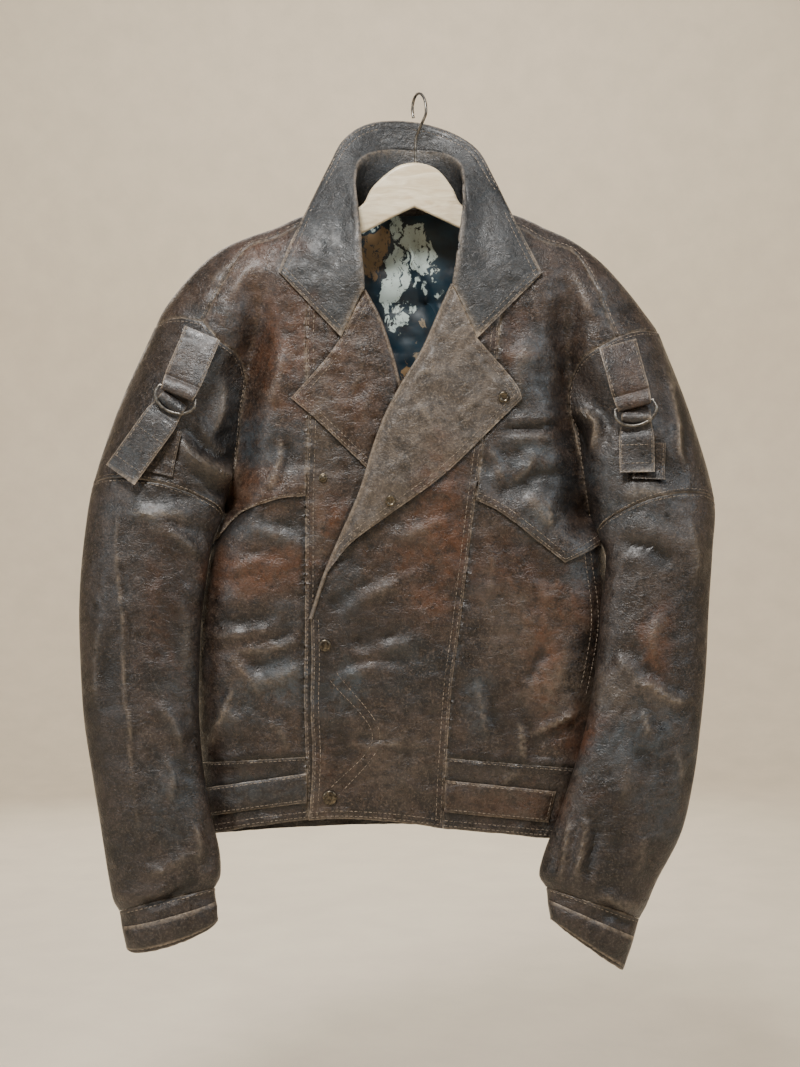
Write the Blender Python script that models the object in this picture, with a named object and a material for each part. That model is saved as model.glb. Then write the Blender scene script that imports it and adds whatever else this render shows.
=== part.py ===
"""A short worn leather coat, double breasted, hanging on a wooden hanger with a wire hook.

World axes: +Z up, -Y the front, +X the viewer's right (the wearer's left). The origin is
the inside top of the hook. Lengths below are millimetres and are turned to metres at the end.
"""
import math

import bpy
import numpy as np
from mathutils import Vector, kdtree
from mathutils.bvhtree import BVHTree
from mathutils.geometry import delaunay_2d_cdt

# driving dimensions, millimetres
WALL = 2.0            # leather of the panels
TRIM = 1.8            # leather of lapels, tabs and straps
LINING = 1.0          # lining cloth
SEAM = 0.18           # half the gap left at a seam
LIFT = 0.4            # gap under a piece that lies on another
SHIFT_X = 5.0         # moves the middle so that the hook hangs at x = 0
VIEW = 1500.0         # the outlines below are as seen from this far in front of y = 0
VIEW_X, VIEW_Z = -25.2, -460.4
GRID = 21.0           # spacing of points on the fronts
BACK_GRID = 27.0      # spacing of points on the back
SIDE_R = 45.0         # how far in the side rounding reaches
SHOULDER_R = 58.0     # how far down the shoulder rounding reaches
FOLD = 17.0           # half width of the fold that runs from the hanger's end to the armpit
BOARD = 12.0          # thickness of the hanger's board
HOOK_R = 1.5          # wire radius of the hook
RING_R = 1.5          # wire radius of the D-rings
STRAP_W = 40.0        # width of the shoulder straps
CUFF_STRAP_IN = 5.0   # how far a cuff's strap stays inside the cuff's edges
SLEEVE_STEP = 26.0    # spacing of the rows of points down a sleeve

# depth of the front and of the back at each height (z, depth)
FRONT_DEPTH = [(-110, 33), (-200, 40), (-300, 45), (-430, 47), (-560, 44), (-700, 40), (-790, 34)]
BACK_DEPTH = [(-110, 37), (-200, 40), (-300, 41), (-430, 39), (-560, 36), (-700, 33), (-790, 30)]

# points where lines meet, (x, z); R is the wearer's right, the viewer's left
NECK_R, NECK_L = (-98, -120), (70, -120)
SEAMTOP_R, SEAMTOP_L = (-96, -128), (68, -128)
TIP_R, TIP_L = (-282, -243), (246, -249)
DROP_R, DROP_L = (-232, -237), (202, -254)
PIT_R, PIT_L = (-208, -430), (174, -441)
HEMSIDE_R, HEMSIDE_L = (-231, -776), (178, -784)
PANEL_R, PANEL_L = (-109, -132), (84, -133)
FLAPSIDE_R, FLAPSIDE_L = (-229, -488), (189, -468)
FLAPMID_R, FLAPMID_L = (-124.5, -421), (54, -425)
TUCKSIDE_R, TUCKSIDE_L = (-225.5, -478), (184, -458)
TUCKMID_R, TUCKMID_L = (-124.3, -411), (55.5, -414)
WAISTSIDE_R, WAISTSIDE_L = (-236, -701), (185.5, -709)
WAISTMID_R, WAISTMID_L = (-124, -695), (24, -696)
TABTOP_R, TABTOP_L = (-123, -712), (22.5, -719)
TABLOW_R, TABLOW_L = (-122.5, -743), (21, -753)
TABTOPSIDE_R, TABLOWSIDE_R = (-235, -728), (-233, -758)
HEMMID_R, HEMMID_L = (-122, -761), (20, -770)
GORGE_R, GORGE_L = (-63, -205), (30, -199)
NOTCH_R, NOTCH_L = (-87, -254), (56, -255)
EDGE_TOP = (-119, -550)
EDGE_LOW = (-121, -762)

# lines of the coat, as seen from the front
SHOULDER_R_LINE = [NECK_R, (-130, -128), (-156, -140), (-183, -149), (-212, -162), (-235, -180),
                   (-256, -203), (-272, -224), TIP_R]
SHOULDER_L_LINE = [NECK_L, (101, -128), (127, -140), (155, -153), (185, -175), (211, -203),
                   (232, -230), TIP_L]
DROP_R_OUT = [TIP_R, (-267, -235), (-254, -234), DROP_R]
DROP_L_OUT = [TIP_L, (227, -247), DROP_L]
ARM_R = [DROP_R, (-215, -257), (-197, -272), (-188, -297), (-192, -330), (-197, -378), PIT_R]
ARM_L = [DROP_L, (184, -264), (166, -277), (153, -304), (154, -335), (165, -385), PIT_L]
SIDE_R_LINE = [PIT_R, TUCKSIDE_R, FLAPSIDE_R, (-238, -551), (-239, -635), WAISTSIDE_R,
               TABTOPSIDE_R, TABLOWSIDE_R, HEMSIDE_R]
SIDE_L_LINE = [PIT_L, TUCKSIDE_L, FLAPSIDE_L, (195, -551), (189, -635), WAISTSIDE_L, HEMSIDE_L]
SHOULDER_SEAM_R = [SEAMTOP_R, PANEL_R, (-131, -137), (-160, -151), (-185, -159), (-208, -191), DROP_R]
SHOULDER_SEAM_L = [SEAMTOP_L, PANEL_L, (101, -139), (127, -154), (155, -163), (172, -184), DROP_L]
PANEL_SEAM_R = [PANEL_R, (-124, -237), (-122, -336), TUCKMID_R, FLAPMID_R, (-125, -562),
                (-126, -640), WAISTMID_R, TABTOP_R, TABLOW_R, HEMMID_R]
PANEL_SEAM_L = [PANEL_L, (80, -237), (76, -279), (63, -360), TUCKMID_L, FLAPMID_L, (44, -508),
                (36, -572), (30, -614), WAISTMID_L, TABTOP_L, TABLOW_L, HEMMID_L]
FLAP_R = [FLAPMID_R, (-156, -425), (-188, -439), (-215, -466), FLAPSIDE_R]
TUCK_R = [TUCKMID_R, (-157, -415), (-191, -429), (-215, -454), TUCKSIDE_R]
FLAP_L_A, FLAP_L_B = [FLAPMID_L, (80, -438), (148, -491)], [(148, -491), (176, -477), FLAPSIDE_L]
TUCK_L_A, TUCK_L_B = [TUCKMID_L, (84, -428), (148, -479)], [(148, -479), (174, -466), TUCKSIDE_L]
WAIST_R = [WAISTMID_R, WAISTSIDE_R]
WAIST_L = [WAISTMID_L, (110, -703), (159, -707), WAISTSIDE_L]
HEM_R = [HEMMID_R, (-180, -768), (-216, -774), HEMSIDE_R]
HEM_L = [HEMMID_L, (75, -775), (127, -780), HEMSIDE_L]
HEM_OVER = [EDGE_LOW, (-88, -760), (-25, -764), HEMMID_L]
FREE_EDGE = [EDGE_TOP, (-118, -594), (-119, -643), (-117, -691), (-118, -723), EDGE_LOW]
ROLL_L = [GORGE_L, (19, -223), (-1, -268), (-25, -308), (-40, -337), (-52, -369), (-67, -418),
          (-87, -464), (-104, -504), EDGE_TOP]
ROLL_R = [GORGE_R, (-47, -235), (-34, -273), (-25, -306), (-20, -318)]
UNDER_EDGE = [(-20, -318), (-9, -360), (-4, -420), (-4, -600), (-4, -758)]
HEM_UNDER = [(-4, -758), (-60, -757), (-104, -758), HEMMID_R]
NECKLINE_R = [NECK_R, SEAMTOP_R, (-90, -152), (-82, -177), (-74, -197), GORGE_R]
NECKLINE_L = [NECK_L, SEAMTOP_L, (62, -152), (54, -177), (44, -194), GORGE_L]
BACK_NECK = [NECK_R, (-60, -119), (-14, -120), (32, -119), NECK_L]
BACK_WAIST = [WAISTSIDE_R, (-120, -694), (0, -692), (100, -700), WAISTSIDE_L]
BACK_HEM = [HEMSIDE_R, (-120, -768), (0, -766), (100, -776), HEMSIDE_L]
LAPEL_R_OUT = [[GORGE_R, NOTCH_R], [NOTCH_R, (-102, -275), (-140, -318)],
               [(-140, -318), (-113, -341), (-60, -392)],
               [(-60, -392), (-52, -396), (-43, -367), (-31, -338), (-20, -318)]]
LAPEL_L_OUT = [[GORGE_L, NOTCH_L], [NOTCH_L, (100, -308), (103, -319)],
               [(103, -319), (63, -358), (23, -397), (-6, -419), (-38, -442), (-77, -471),
                (-92, -489), (-104, -506), (-110, -527), EDGE_TOP]]
TAB_L_OUT = [[TABTOP_L, (139, -731)], [(139, -731), (131, -764)], [(131, -764), TABLOW_L]]
TAB_R_OUT = [[TABTOP_R, TABTOPSIDE_R], [TABLOW_R, TABLOWSIDE_R]]
LINING_LINE = [(-88, -126), (-104, -200), (-98, -300), (-50, -352), (10, -352), (62, -300),
               (76, -200), (60, -126), (-14, -127), (-88, -126)]
FOLD_R_LINE = [(-176, -160), (-174, -200), (-175, -235), (-182, -273), (-190, -320), (-197, -378), PIT_R]
FOLD_L_LINE = [(154, -162), (152, -205), (150, -250), (151, -290), (154, -335), (165, -385), PIT_L]

# the sleeves: outer point, inner point, height of the middle above their line, y, half depth
SLEEVE_R = [((-348, -412), (-212, -442), 20, -22, 38), ((-357, -467), (-226, -474), 6, -31, 35),
            ((-362, -530), (-235, -536), 0, -35, 35), ((-361, -593), (-236, -596), 0, -36, 34),
            ((-357, -656), (-236, -654), 0, -40, 33), ((-349, -709), (-232, -704), 0, -43, 32),
            ((-340, -765), (-224, -752), 0, -46, 31), ((-331, -822), (-214, -798), 0, -48, 30),
            ((-326, -846), (-214, -821), 0, -49, 30), ((-320, -857), (-219, -832), 0, -50, 26)]
SLEEVE_L = [((305, -428), (184, -461), 22, -22, 38), ((303, -478), (194, -484), 6, -32, 35),
            ((299, -541), (187, -545), 0, -37, 34), ((296, -604), (180, -604), 0, -45, 32),
            ((290, -667), (170, -662), 0, -52, 30), ((283, -719), (157, -708), 0, -56, 29),
            ((270, -775), (141, -756), 0, -59, 28), ((244, -826), (124, -802), 0, -61, 28),
            ((233, -852), (121, -820), 0, -61, 28), ((226, -865), (128, -832), 0, -61, 24)]
CUFF_R = [((-317, -875), (-218, -848), 4, -51, 25), ((-312, -897), (-216, -866), -12, -52, 25)]
CUFF_L = [((219, -890), (130, -849), 0, -62, 24), ((209, -919), (133, -866), -2, -63, 24)]

LEATHER = {"body": (0.085, 0.045, 0.028), "dark": (0.052, 0.036, 0.03), "rust": (0.16, 0.062, 0.026),
           "tan": (0.13, 0.078, 0.05)}


def dense(points, n=10):
    """A smooth line through the points, as many short steps."""
    p = [Vector(q) for q in points]
    if len(p) == 2:
        return np.array([p[0].lerp(p[1], i / n) for i in range(n + 1)])
    p = [2 * p[0] - p[1]] + p + [2 * p[-1] - p[-2]]
    out = []
    for a, b, c, d in zip(p, p[1:], p[2:], p[3:]):
        t1 = (b - a).length ** 0.5
        t2 = t1 + (c - b).length ** 0.5
        t3 = t2 + (d - c).length ** 0.5
        for i in range(n):
            t = t1 + (t2 - t1) * i / n
            a1 = a * ((t1 - t) / t1) + b * (t / t1)
            a2 = b * ((t2 - t) / (t2 - t1)) + c * ((t - t1) / (t2 - t1))
            a3 = c * ((t3 - t) / (t3 - t2)) + d * ((t - t2) / (t3 - t2))
            b1 = a1 * ((t2 - t) / t2) + a2 * (t / t2)
            b2 = a2 * ((t3 - t) / (t3 - t1)) + a3 * ((t - t1) / (t3 - t1))
            out.append(b1 * ((t2 - t) / (t2 - t1)) + b2 * ((t - t1) / (t2 - t1)))
    return np.array(out + [p[-2]])


def along(line, fractions):
    """Points of a dense line at the given shares of its length."""
    s = np.concatenate([[0], np.cumsum(np.linalg.norm(np.diff(line, axis=0), axis=1))])
    return np.array([[np.interp(f * s[-1], s, line[:, k]) for k in range(line.shape[1])]
                     for f in fractions])


def steps(points, step, joints=()):
    """A smooth line cut into even steps, with a point kept at each joint."""
    line = dense(points)
    marks = [0] + [10 * points.index(j) for j in joints] + [len(line) - 1]
    out = []
    for a, b in zip(marks, marks[1:]):
        part = line[a:b + 1]
        length = np.linalg.norm(np.diff(part, axis=0), axis=1).sum()
        n = max(1, round(length / step))
        out.append(along(part, np.linspace(0, 1, n + 1))[:-1])
    return np.vstack(out + [line[-1:]])


def distance(p, line):
    """Distance of each point from a line of short segments."""
    a, b = line[:-1], line[1:]
    ab = b - a
    ap = p[:, None, :] - a[None]
    t = np.clip((ap * ab).sum(2) / np.maximum((ab * ab).sum(1), 1e-9), 0, 1)
    return np.sqrt(((ap - t[..., None] * ab) ** 2).sum(2)).min(1)


def inside(p, loop):
    """Whether each point lies in a closed outline."""
    x, y = p[:, 0][:, None], p[:, 1][:, None]
    a, b = np.array(loop), np.roll(np.array(loop), -1, axis=0)
    hit = ((a[:, 1] > y) != (b[:, 1] > y))
    cut = a[:, 0] + (y - a[:, 1]) * (b[:, 0] - a[:, 0]) / np.where(b[:, 1] == a[:, 1], 1e-9, b[:, 1] - a[:, 1])
    return (hit & (x < cut)).sum(1) % 2 == 1


def smooth(t):
    t = np.clip(t, 0, 1)
    return t * t * (3 - 2 * t)


def profile(d, r):
    return np.sqrt(np.clip(1 - (1 - np.minimum(d, r) / r) ** 2, 0, 1))


def half_depth(p, table, fold):
    """How far the coat stands out from its middle plane at each point (x, z)."""
    z = p[:, 1]
    rows = sorted(table)
    d = np.interp(z, [r[0] for r in rows], [r[1] for r in rows])
    shoulder = np.minimum(distance(p, LINES["shoulder_r"]), distance(p, LINES["shoulder_l"]))
    side = np.minimum(distance(p, LINES["side_r"]), distance(p, LINES["side_l"]))
    near = np.minimum(distance(p, LINES["fold_r"]), distance(p, LINES["fold_l"]))
    deep = fold * smooth((-150 - z) / 150)
    d = d * profile(shoulder, SHOULDER_R) * profile(side, SIDE_R) * (1 - deep * np.exp(-(near / FOLD) ** 2))
    return np.where(np.minimum(shoulder, side) < 1e-4, 0, d)


def overlap_raise(p):
    """The left centre panel lies over the right one, and higher where the right lapel is under it."""
    from_seam = distance(p, LINES["panel_l"])
    left = p[:, 0] < np.interp(p[:, 1], LINES["panel_l"][::-1, 1], LINES["panel_l"][::-1, 0])
    low = 3.4 * smooth(from_seam / 20)
    high = 4.8 * np.exp(-((p[:, 1] + 350) / 78) ** 4) * smooth((from_seam - 10) / 55)
    return np.where(left, low + high, 0) * smooth((-190 - p[:, 1]) / 60)


def front_r(p):
    return -half_depth(p, FRONT_DEPTH, 0.72)


def front_l(p):
    return -half_depth(p, FRONT_DEPTH, 0.72) - overlap_raise(p)


def back_y(p):
    return half_depth(p, BACK_DEPTH, 0.45)


LINES = {"shoulder_r": dense(SHOULDER_R_LINE), "shoulder_l": dense(SHOULDER_L_LINE),
         "side_r": dense(SIDE_R_LINE), "side_l": dense(SIDE_L_LINE),
         "fold_r": dense(FOLD_R_LINE), "fold_l": dense(FOLD_L_LINE), "panel_l": dense(PANEL_SEAM_L),
         "roll_l": dense(ROLL_L), "roll_r": dense(ROLL_R)}


def triangulate(lines, outline, step, rims):
    """Cut a flat outline into triangles along the lines, with rows of points near the rims."""
    points, index, edges = [], {}, []

    def add(q):
        key = (round(float(q[0]), 2), round(float(q[1]), 2))
        if key not in index:
            index[key] = len(points)
            points.append(Vector((float(q[0]), float(q[1]))))
        return index[key]

    for line in lines:
        ids = [add(q) for q in line]
        edges += [(a, b) for a, b in zip(ids, ids[1:]) if a != b]
    walls = np.vstack([along(line, np.linspace(0, 1, 4 * len(line))) for line in lines])
    extra = []
    for rim, offsets in rims:
        for k, off in enumerate(offsets):
            mids = rim if k % 2 else 0.5 * (rim[1:] + rim[:-1])
            t = np.gradient(mids, axis=0)
            n = np.stack([-t[:, 1], t[:, 0]], 1) / np.linalg.norm(t, axis=1)[:, None]
            for sign in (1, -1):
                q = mids + sign * off * n
                q = q[inside(q, outline)]
                if len(q):
                    extra.append(q[distance(q, rim) >= 0.9 * off - 1e-6])
    kept = []
    tree = kdtree.KDTree(len(walls))
    for i, w in enumerate(walls):
        tree.insert((w[0], w[1], 0), i)
    tree.balance()
    for q in (np.vstack(extra) if extra else []):
        near = tree.find((q[0], q[1], 0))[2]
        if near > 0.3 * step - 1 and all((q[0] - k[0]) ** 2 + (q[1] - k[1]) ** 2 > (0.5 * step) ** 2
                                         for k in kept[-60:]):
            kept.append(q)
    low, top = np.min(outline, axis=0), np.max(outline, axis=0)
    rows = int((top[1] - low[1]) / (step * 0.87)) + 2
    cols = int((top[0] - low[0]) / step) + 2
    grid = np.array([(low[0] + (c + 0.5 * (r % 2)) * step, low[1] + r * step * 0.87)
                     for r in range(rows) for c in range(cols)])
    grid = grid[inside(grid, outline)]
    tree = kdtree.KDTree(len(walls) + len(kept))
    for i, w in enumerate(list(walls) + kept):
        tree.insert((w[0], w[1], 0), i)
    tree.balance()
    grid = [q for q in grid if tree.find((q[0], q[1], 0))[2] > 0.58 * step]
    for q in kept + grid:
        add(q)
    co, _, faces, _, _, _ = delaunay_2d_cdt(points, edges, [], 0, 1e-4)
    flat = np.array([tuple(c) for c in co])
    tris = np.array([f for f in faces if len(f) == 3])
    mid = flat[tris].mean(1)
    return flat, tris[inside(mid, outline)]


def ring(row, count):
    """One ring of a sleeve, from its outer point over the front to its inner point and back."""
    (ox, oz), (ix, iz), arch, y, deep = row
    out = []
    for k in range(2 * count):
        a = math.pi * k / count
        t = 0.5 - 0.5 * math.cos(a)
        s = math.sin(a)
        bend = abs(s) ** 0.85 * (1 if s >= 0 else -1)
        out.append((ox + (ix - ox) * t, y - deep * bend, oz + (iz - oz) * t + arch * max(s, 0.35 * -s)))
    return np.array(out)


def sleeve_rows(hole, rings, cuff, row_step):
    """Rows of points down a sleeve; the first row is the armhole. Also where each part ends."""
    count = len(hole) // 2
    top = ring(rings[0], count)
    middle = 0.5 * (hole + top)
    swell = np.array([math.sin(math.pi * k / count) for k in range(2 * count)])
    middle[:, 1] -= 13 * swell
    away = np.array([0.5 + 0.5 * math.cos(math.pi * k / count) for k in range(2 * count)])
    middle[:, 0] += 5 * away * np.sign(top[0, 0] - top[count, 0])
    stations = [hole, middle] + [ring(r, count) for r in rings + cuff]
    n_rings = len(rings)
    columns = [dense([s[k] for s in stations], 8) for k in range(2 * count)]
    marks = [0, 16, 8 * (n_rings + 1), 8 * (n_rings + 1 + len(cuff))]
    rows, ends = [], [0]
    for a, b in zip(marks, marks[1:]):
        length = np.mean([np.linalg.norm(np.diff(c[a:b + 1], axis=0), axis=1).sum() for c in columns])
        n = max(2, round(length / row_step))
        parts = [along(c[a:b + 1], np.linspace(0, 1, n + 1)) for c in columns]
        rows += [[p[i] for p in parts] for i in range(0 if a == 0 else 1, n + 1)]
        ends.append(len(rows) - 1)
    return rows, ends


class Garment:
    """The skin of the coat: two fronts, the back and two sleeves, with shared points at every seam."""

    def __init__(self):
        self.points, self.cells, self.faces = [], {}, []

    def add(self, p):
        found = self.find(p)
        if found is not None:
            return found
        self.cells.setdefault(tuple(int(math.floor(c)) for c in p), []).append(len(self.points))
        self.points.append(np.array(p, float))
        return len(self.points) - 1

    def find(self, p):
        """The shared point within 0.05 mm of a place, if there is one."""
        x, y, z = (int(math.floor(c)) for c in p)
        for cell in [(x + i, y + j, z + k) for i in (-1, 0, 1) for j in (-1, 0, 1) for k in (-1, 0, 1)]:
            for q in self.cells.get(cell, ()):
                if np.abs(self.points[q] - p).max() < 0.05:
                    return q
        return None

    def face(self, ids):
        if len(set(ids)) == 3:
            self.faces.append(tuple(ids))

    def finish(self):
        self.v = np.array(self.points)
        self.f = np.array(self.faces)
        self.n = corner_normals(self.v, self.f)
        self.tree = BVHTree.FromPolygons([tuple(p) for p in self.v], [tuple(map(int, f)) for f in self.f])


def corner_normals(v, f):
    """Normals at the points, each face weighted by its angle there."""
    n = np.zeros_like(v)
    a, b, c = v[f[:, 0]], v[f[:, 1]], v[f[:, 2]]
    flat = np.cross(b - a, c - a)
    flat /= np.maximum(np.linalg.norm(flat, axis=1), 1e-9)[:, None]
    for i, (p, q, r) in enumerate(((a, b, c), (b, c, a), (c, a, b))):
        u, w = q - p, r - p
        cos = (u * w).sum(1) / np.maximum(np.linalg.norm(u, axis=1) * np.linalg.norm(w, axis=1), 1e-9)
        np.add.at(n, f[:, i], flat * np.arccos(np.clip(cos, -1, 1))[:, None])
    return n / np.maximum(np.linalg.norm(n, axis=1), 1e-9)[:, None]


def border_inset(v, f, amount):
    """Move the border points of a sheet inward, within the sheet."""
    sides = {}
    for t in f:
        for k in range(3):
            a, b, c = t[k], t[(k + 1) % 3], t[(k + 2) % 3]
            sides.setdefault((min(a, b), max(a, b)), []).append((a, b, c))
    pull = {}
    for (a, b), uses in sides.items():
        if len(uses) == 1:
            _, _, c = uses[0]
            e = v[b] - v[a]
            e = e / np.linalg.norm(e)
            w = v[c] - v[a]
            w = w - e * w.dot(e)
            w = w / max(np.linalg.norm(w), 1e-9)
            pull.setdefault(a, []).append(w)
            pull.setdefault(b, []).append(w)
    out = v.copy()
    for i, ws in pull.items():
        m = sum(ws)
        size = np.linalg.norm(m)
        if size > 1e-6:
            m = m / size
            out[i] += m * amount / max(m.dot(ws[0]), 0.35)
    return out


def wall(v, n, f, low, high):
    """A closed wall between two offsets of a sheet along its normals."""
    low = np.broadcast_to(low, len(v))[:, None]
    high = np.broadcast_to(high, len(v))[:, None]
    points = np.vstack([v + n * high, v + n * low])
    m = len(v)
    faces = [tuple(int(i) for i in t) for t in f] + [tuple(int(i) + m for i in t[::-1]) for t in f]
    used = {}
    for t in f:
        for k in range(3):
            used[(int(t[k]), int(t[(k + 1) % 3]))] = True
    for a, b in used:
        if (b, a) not in used:
            faces += [(b, a, a + m), (b, a + m, b + m)]
    return points, faces


def compact(v, f):
    """Only the points that the faces use."""
    ids = sorted({int(i) for t in f for i in t})
    new = {i: k for k, i in enumerate(ids)}
    return np.array([v[i] for i in ids]), [tuple(new[int(i)] for i in t) for t in f], ids


def material(name, colour, rough, metal=0.0):
    mat = bpy.data.materials.new(name)
    mat.use_nodes = True
    bsdf = mat.node_tree.nodes["Principled BSDF"]
    bsdf.inputs["Base Color"].default_value = (*colour, 1)
    bsdf.inputs["Roughness"].default_value = rough
    bsdf.inputs["Metallic"].default_value = metal
    mat.diffuse_color = (*colour, 1)
    return mat


BUILT = []


def true_place(points):
    """From the outlines as seen to true places: what is nearer the eye is drawn in a little."""
    k = 1 + points[:, 1] / VIEW
    return np.stack([VIEW_X + (points[:, 0] - VIEW_X) * k + SHIFT_X, points[:, 1],
                     VIEW_Z + (points[:, 2] - VIEW_Z) * k], 1)


def make(name, points, faces, colour, rough=0.5, metal=0.0):
    """One object from points in millimetres."""
    points, faces, _ = compact(points, faces)
    BUILT.append((points, faces))
    points = true_place(points)
    mesh = bpy.data.meshes.new(name)
    mesh.from_pydata([tuple(p * 0.001) for p in points], [], faces)
    mesh.materials.append(material(name, colour, rough, metal))
    mesh.validate()
    mesh.shade_smooth()
    mesh.set_sharp_from_angle(angle=math.radians(50))
    obj = bpy.data.objects.new(name, mesh)
    bpy.context.scene.collection.objects.link(obj)
    return obj


def surface_y(tree, x, z, reach=5.0):
    """The foremost y of the skin near a point, as seen from the front."""
    best = None
    for k in range(9):
        a = 2 * math.pi * k / 8
        r = reach if k < 8 else 0
        hit = tree.ray_cast(Vector((x + r * math.cos(a), -400, z + r * math.sin(a))), Vector((0, 1, 0)))
        if hit[0] is not None and (best is None or hit[0].y < best):
            best = hit[0].y
    return best


class Strap:
    """Places points on a straight strap that lies on the skin: s along, w across, h above."""

    def __init__(self, tree, start, end, width):
        self.a = np.array(start, float)
        d = np.array(end, float) - self.a
        self.length = float(np.linalg.norm(d))
        self.d = d / self.length
        self.n = np.array([-self.d[1], self.d[0]])
        self.rows = []
        self.width = width
        for s in np.linspace(-12, self.length + 16, 12):
            c = self.a + self.d * s
            ws = np.linspace(-width / 2, width / 2, 5)
            ys = [surface_y(tree, *(c + self.n * w)) for w in ws]
            ys = [y if y is not None else 0 for y in ys]
            slope = (ys[-1] - ys[0]) / width
            base = min(y - slope * w for y, w in zip(ys, ws))
            self.rows.append((s, base, slope))

    def at(self, s, w, h):
        t = [r[0] for r in self.rows]
        base = np.interp(s, t, [r[1] for r in self.rows])
        slope = np.interp(s, t, [r[2] for r in self.rows])
        x, z = self.a + self.d * s + self.n * w
        return np.array((x, base + slope * w - h, z))


def strip(strap, path, width, thick, columns=3):
    """A strap's wall along a path of (s, h, width share); the wall is centred on the path."""
    path = np.array(path, float)
    t = np.gradient(path[:, :2], axis=0)
    n = np.stack([-t[:, 1], t[:, 0]], 1) / np.linalg.norm(t, axis=1)[:, None]
    sheet = []
    for side in (0.5, -0.5):
        for (s, h, share), (ns, nh) in zip(path, n):
            for c in range(columns + 1):
                w = width * share * (c / columns - 0.5)
                sheet.append(strap.at(s + ns * thick * side, w, h + nh * thick * side))
    rows = len(path)
    m = rows * (columns + 1)
    faces = []
    for r in range(rows - 1):
        for c in range(columns):
            a, b = r * (columns + 1) + c, r * (columns + 1) + c + 1
            d, e = b + columns + 1, a + columns + 1
            faces += [(a, d, b), (a, e, d), (a + m, b + m, d + m), (a + m, d + m, e + m)]
    used = {(q[k], q[(k + 1) % 3]) for q in faces for k in range(3)}
    for a, b in list(used):
        if (b, a) not in used and a < m and b < m:
            faces += [(b, a, a + m), (b, a + m, b + m)]
    return np.array(sheet), faces


def tube(path, radius, sides=6, closed=False):
    """A round wire along a path of points."""
    path = np.array(path, float)
    count = len(path)
    verts, faces = [], []
    normal = None
    for i in range(count):
        before = path[(i - 1) % count] if closed or i else path[i]
        after = path[(i + 1) % count] if closed or i < count - 1 else path[i]
        t = Vector(after - before).normalized()
        if normal is None:
            normal = t.orthogonal().normalized()
        normal = (normal - t * normal.dot(t)).normalized()
        other = t.cross(normal)
        for k in range(sides):
            a = 2 * math.pi * k / sides
            verts.append(path[i] + np.array(normal * math.cos(a) + other * math.sin(a)) * radius)
    for i in range(count if closed else count - 1):
        for k in range(sides):
            a, b = i * sides + k, i * sides + (k + 1) % sides
            j = ((i + 1) % count) * sides
            c, d = j + (k + 1) % sides, j + k
            faces += [(a, b, c), (a, c, d)]
    if not closed:
        faces += [(0, k + 1, k) for k in range(1, sides - 1)]
        last = (count - 1) * sides
        faces += [(last, last + k, last + k + 1) for k in range(1, sides - 1)]
    return np.array(verts), faces


def snap(tree, x, z, rings, sides=12):
    """A turned press stud standing on the skin; rings are (radius, height)."""
    spots = [(x + dx, z + dz) for dx in (-4, 0, 4) for dz in (-4, 0, 4)]
    ys = np.array([surface_y(tree, px, pz, 2.0) for px, pz in spots])
    plane = np.linalg.lstsq(np.array([(px - x, pz - z, 1) for px, pz in spots]), ys, rcond=None)[0]
    over = max(plane[0] * (px - x) + plane[1] * (pz - z) + plane[2] - y for (px, pz), y in zip(spots, ys))
    base = plane[2] - LIFT - over
    out = Vector((plane[0], -1, plane[1])).normalized()
    side = Vector((1, plane[0], 0)).normalized()
    up = side.cross(out) * -1
    verts, faces = [], []
    for radius, height in rings:
        for k in range(sides):
            a = 2 * math.pi * k / sides
            p = Vector((x, base, z)) + out * height + side * (radius * math.cos(a)) \
                + up * (radius * math.sin(a))
            verts.append(np.array(p))
    for i in range(len(rings) - 1):
        for k in range(sides):
            a, b = i * sides + k, i * sides + (k + 1) % sides
            c, d = b + sides, a + sides
            faces += [(a, b, c), (a, c, d)]
    faces += [(0, k + 1, k) for k in range(1, sides - 1)]
    last = (len(rings) - 1) * sides
    faces += [(last, last + k, last + k + 1) for k in range(1, sides - 1)]
    verts = np.array(verts)
    return verts, outward(verts, faces)


def outward(verts, faces):
    """Turn the faces of a closed body so that it encloses a positive volume."""
    f = np.array(faces)
    v = np.array(verts)
    volume = (v[f[:, 0]] * np.cross(v[f[:, 1]], v[f[:, 2]])).sum()
    return [tuple(t[::-1]) for t in faces] if volume < 0 else faces


def band(rows, top, low, first, last):
    """Triangles between rows of a loft, over a run of columns."""
    count = len(rows[0])
    faces = []
    for r in range(top, low):
        for c in range(first, last):
            a, b = (r, c % count), (r, (c + 1) % count)
            d, e = (r + 1, (c + 1) % count), (r + 1, c % count)
            faces += [(a, b, d), (a, d, e)]
    return faces


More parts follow.
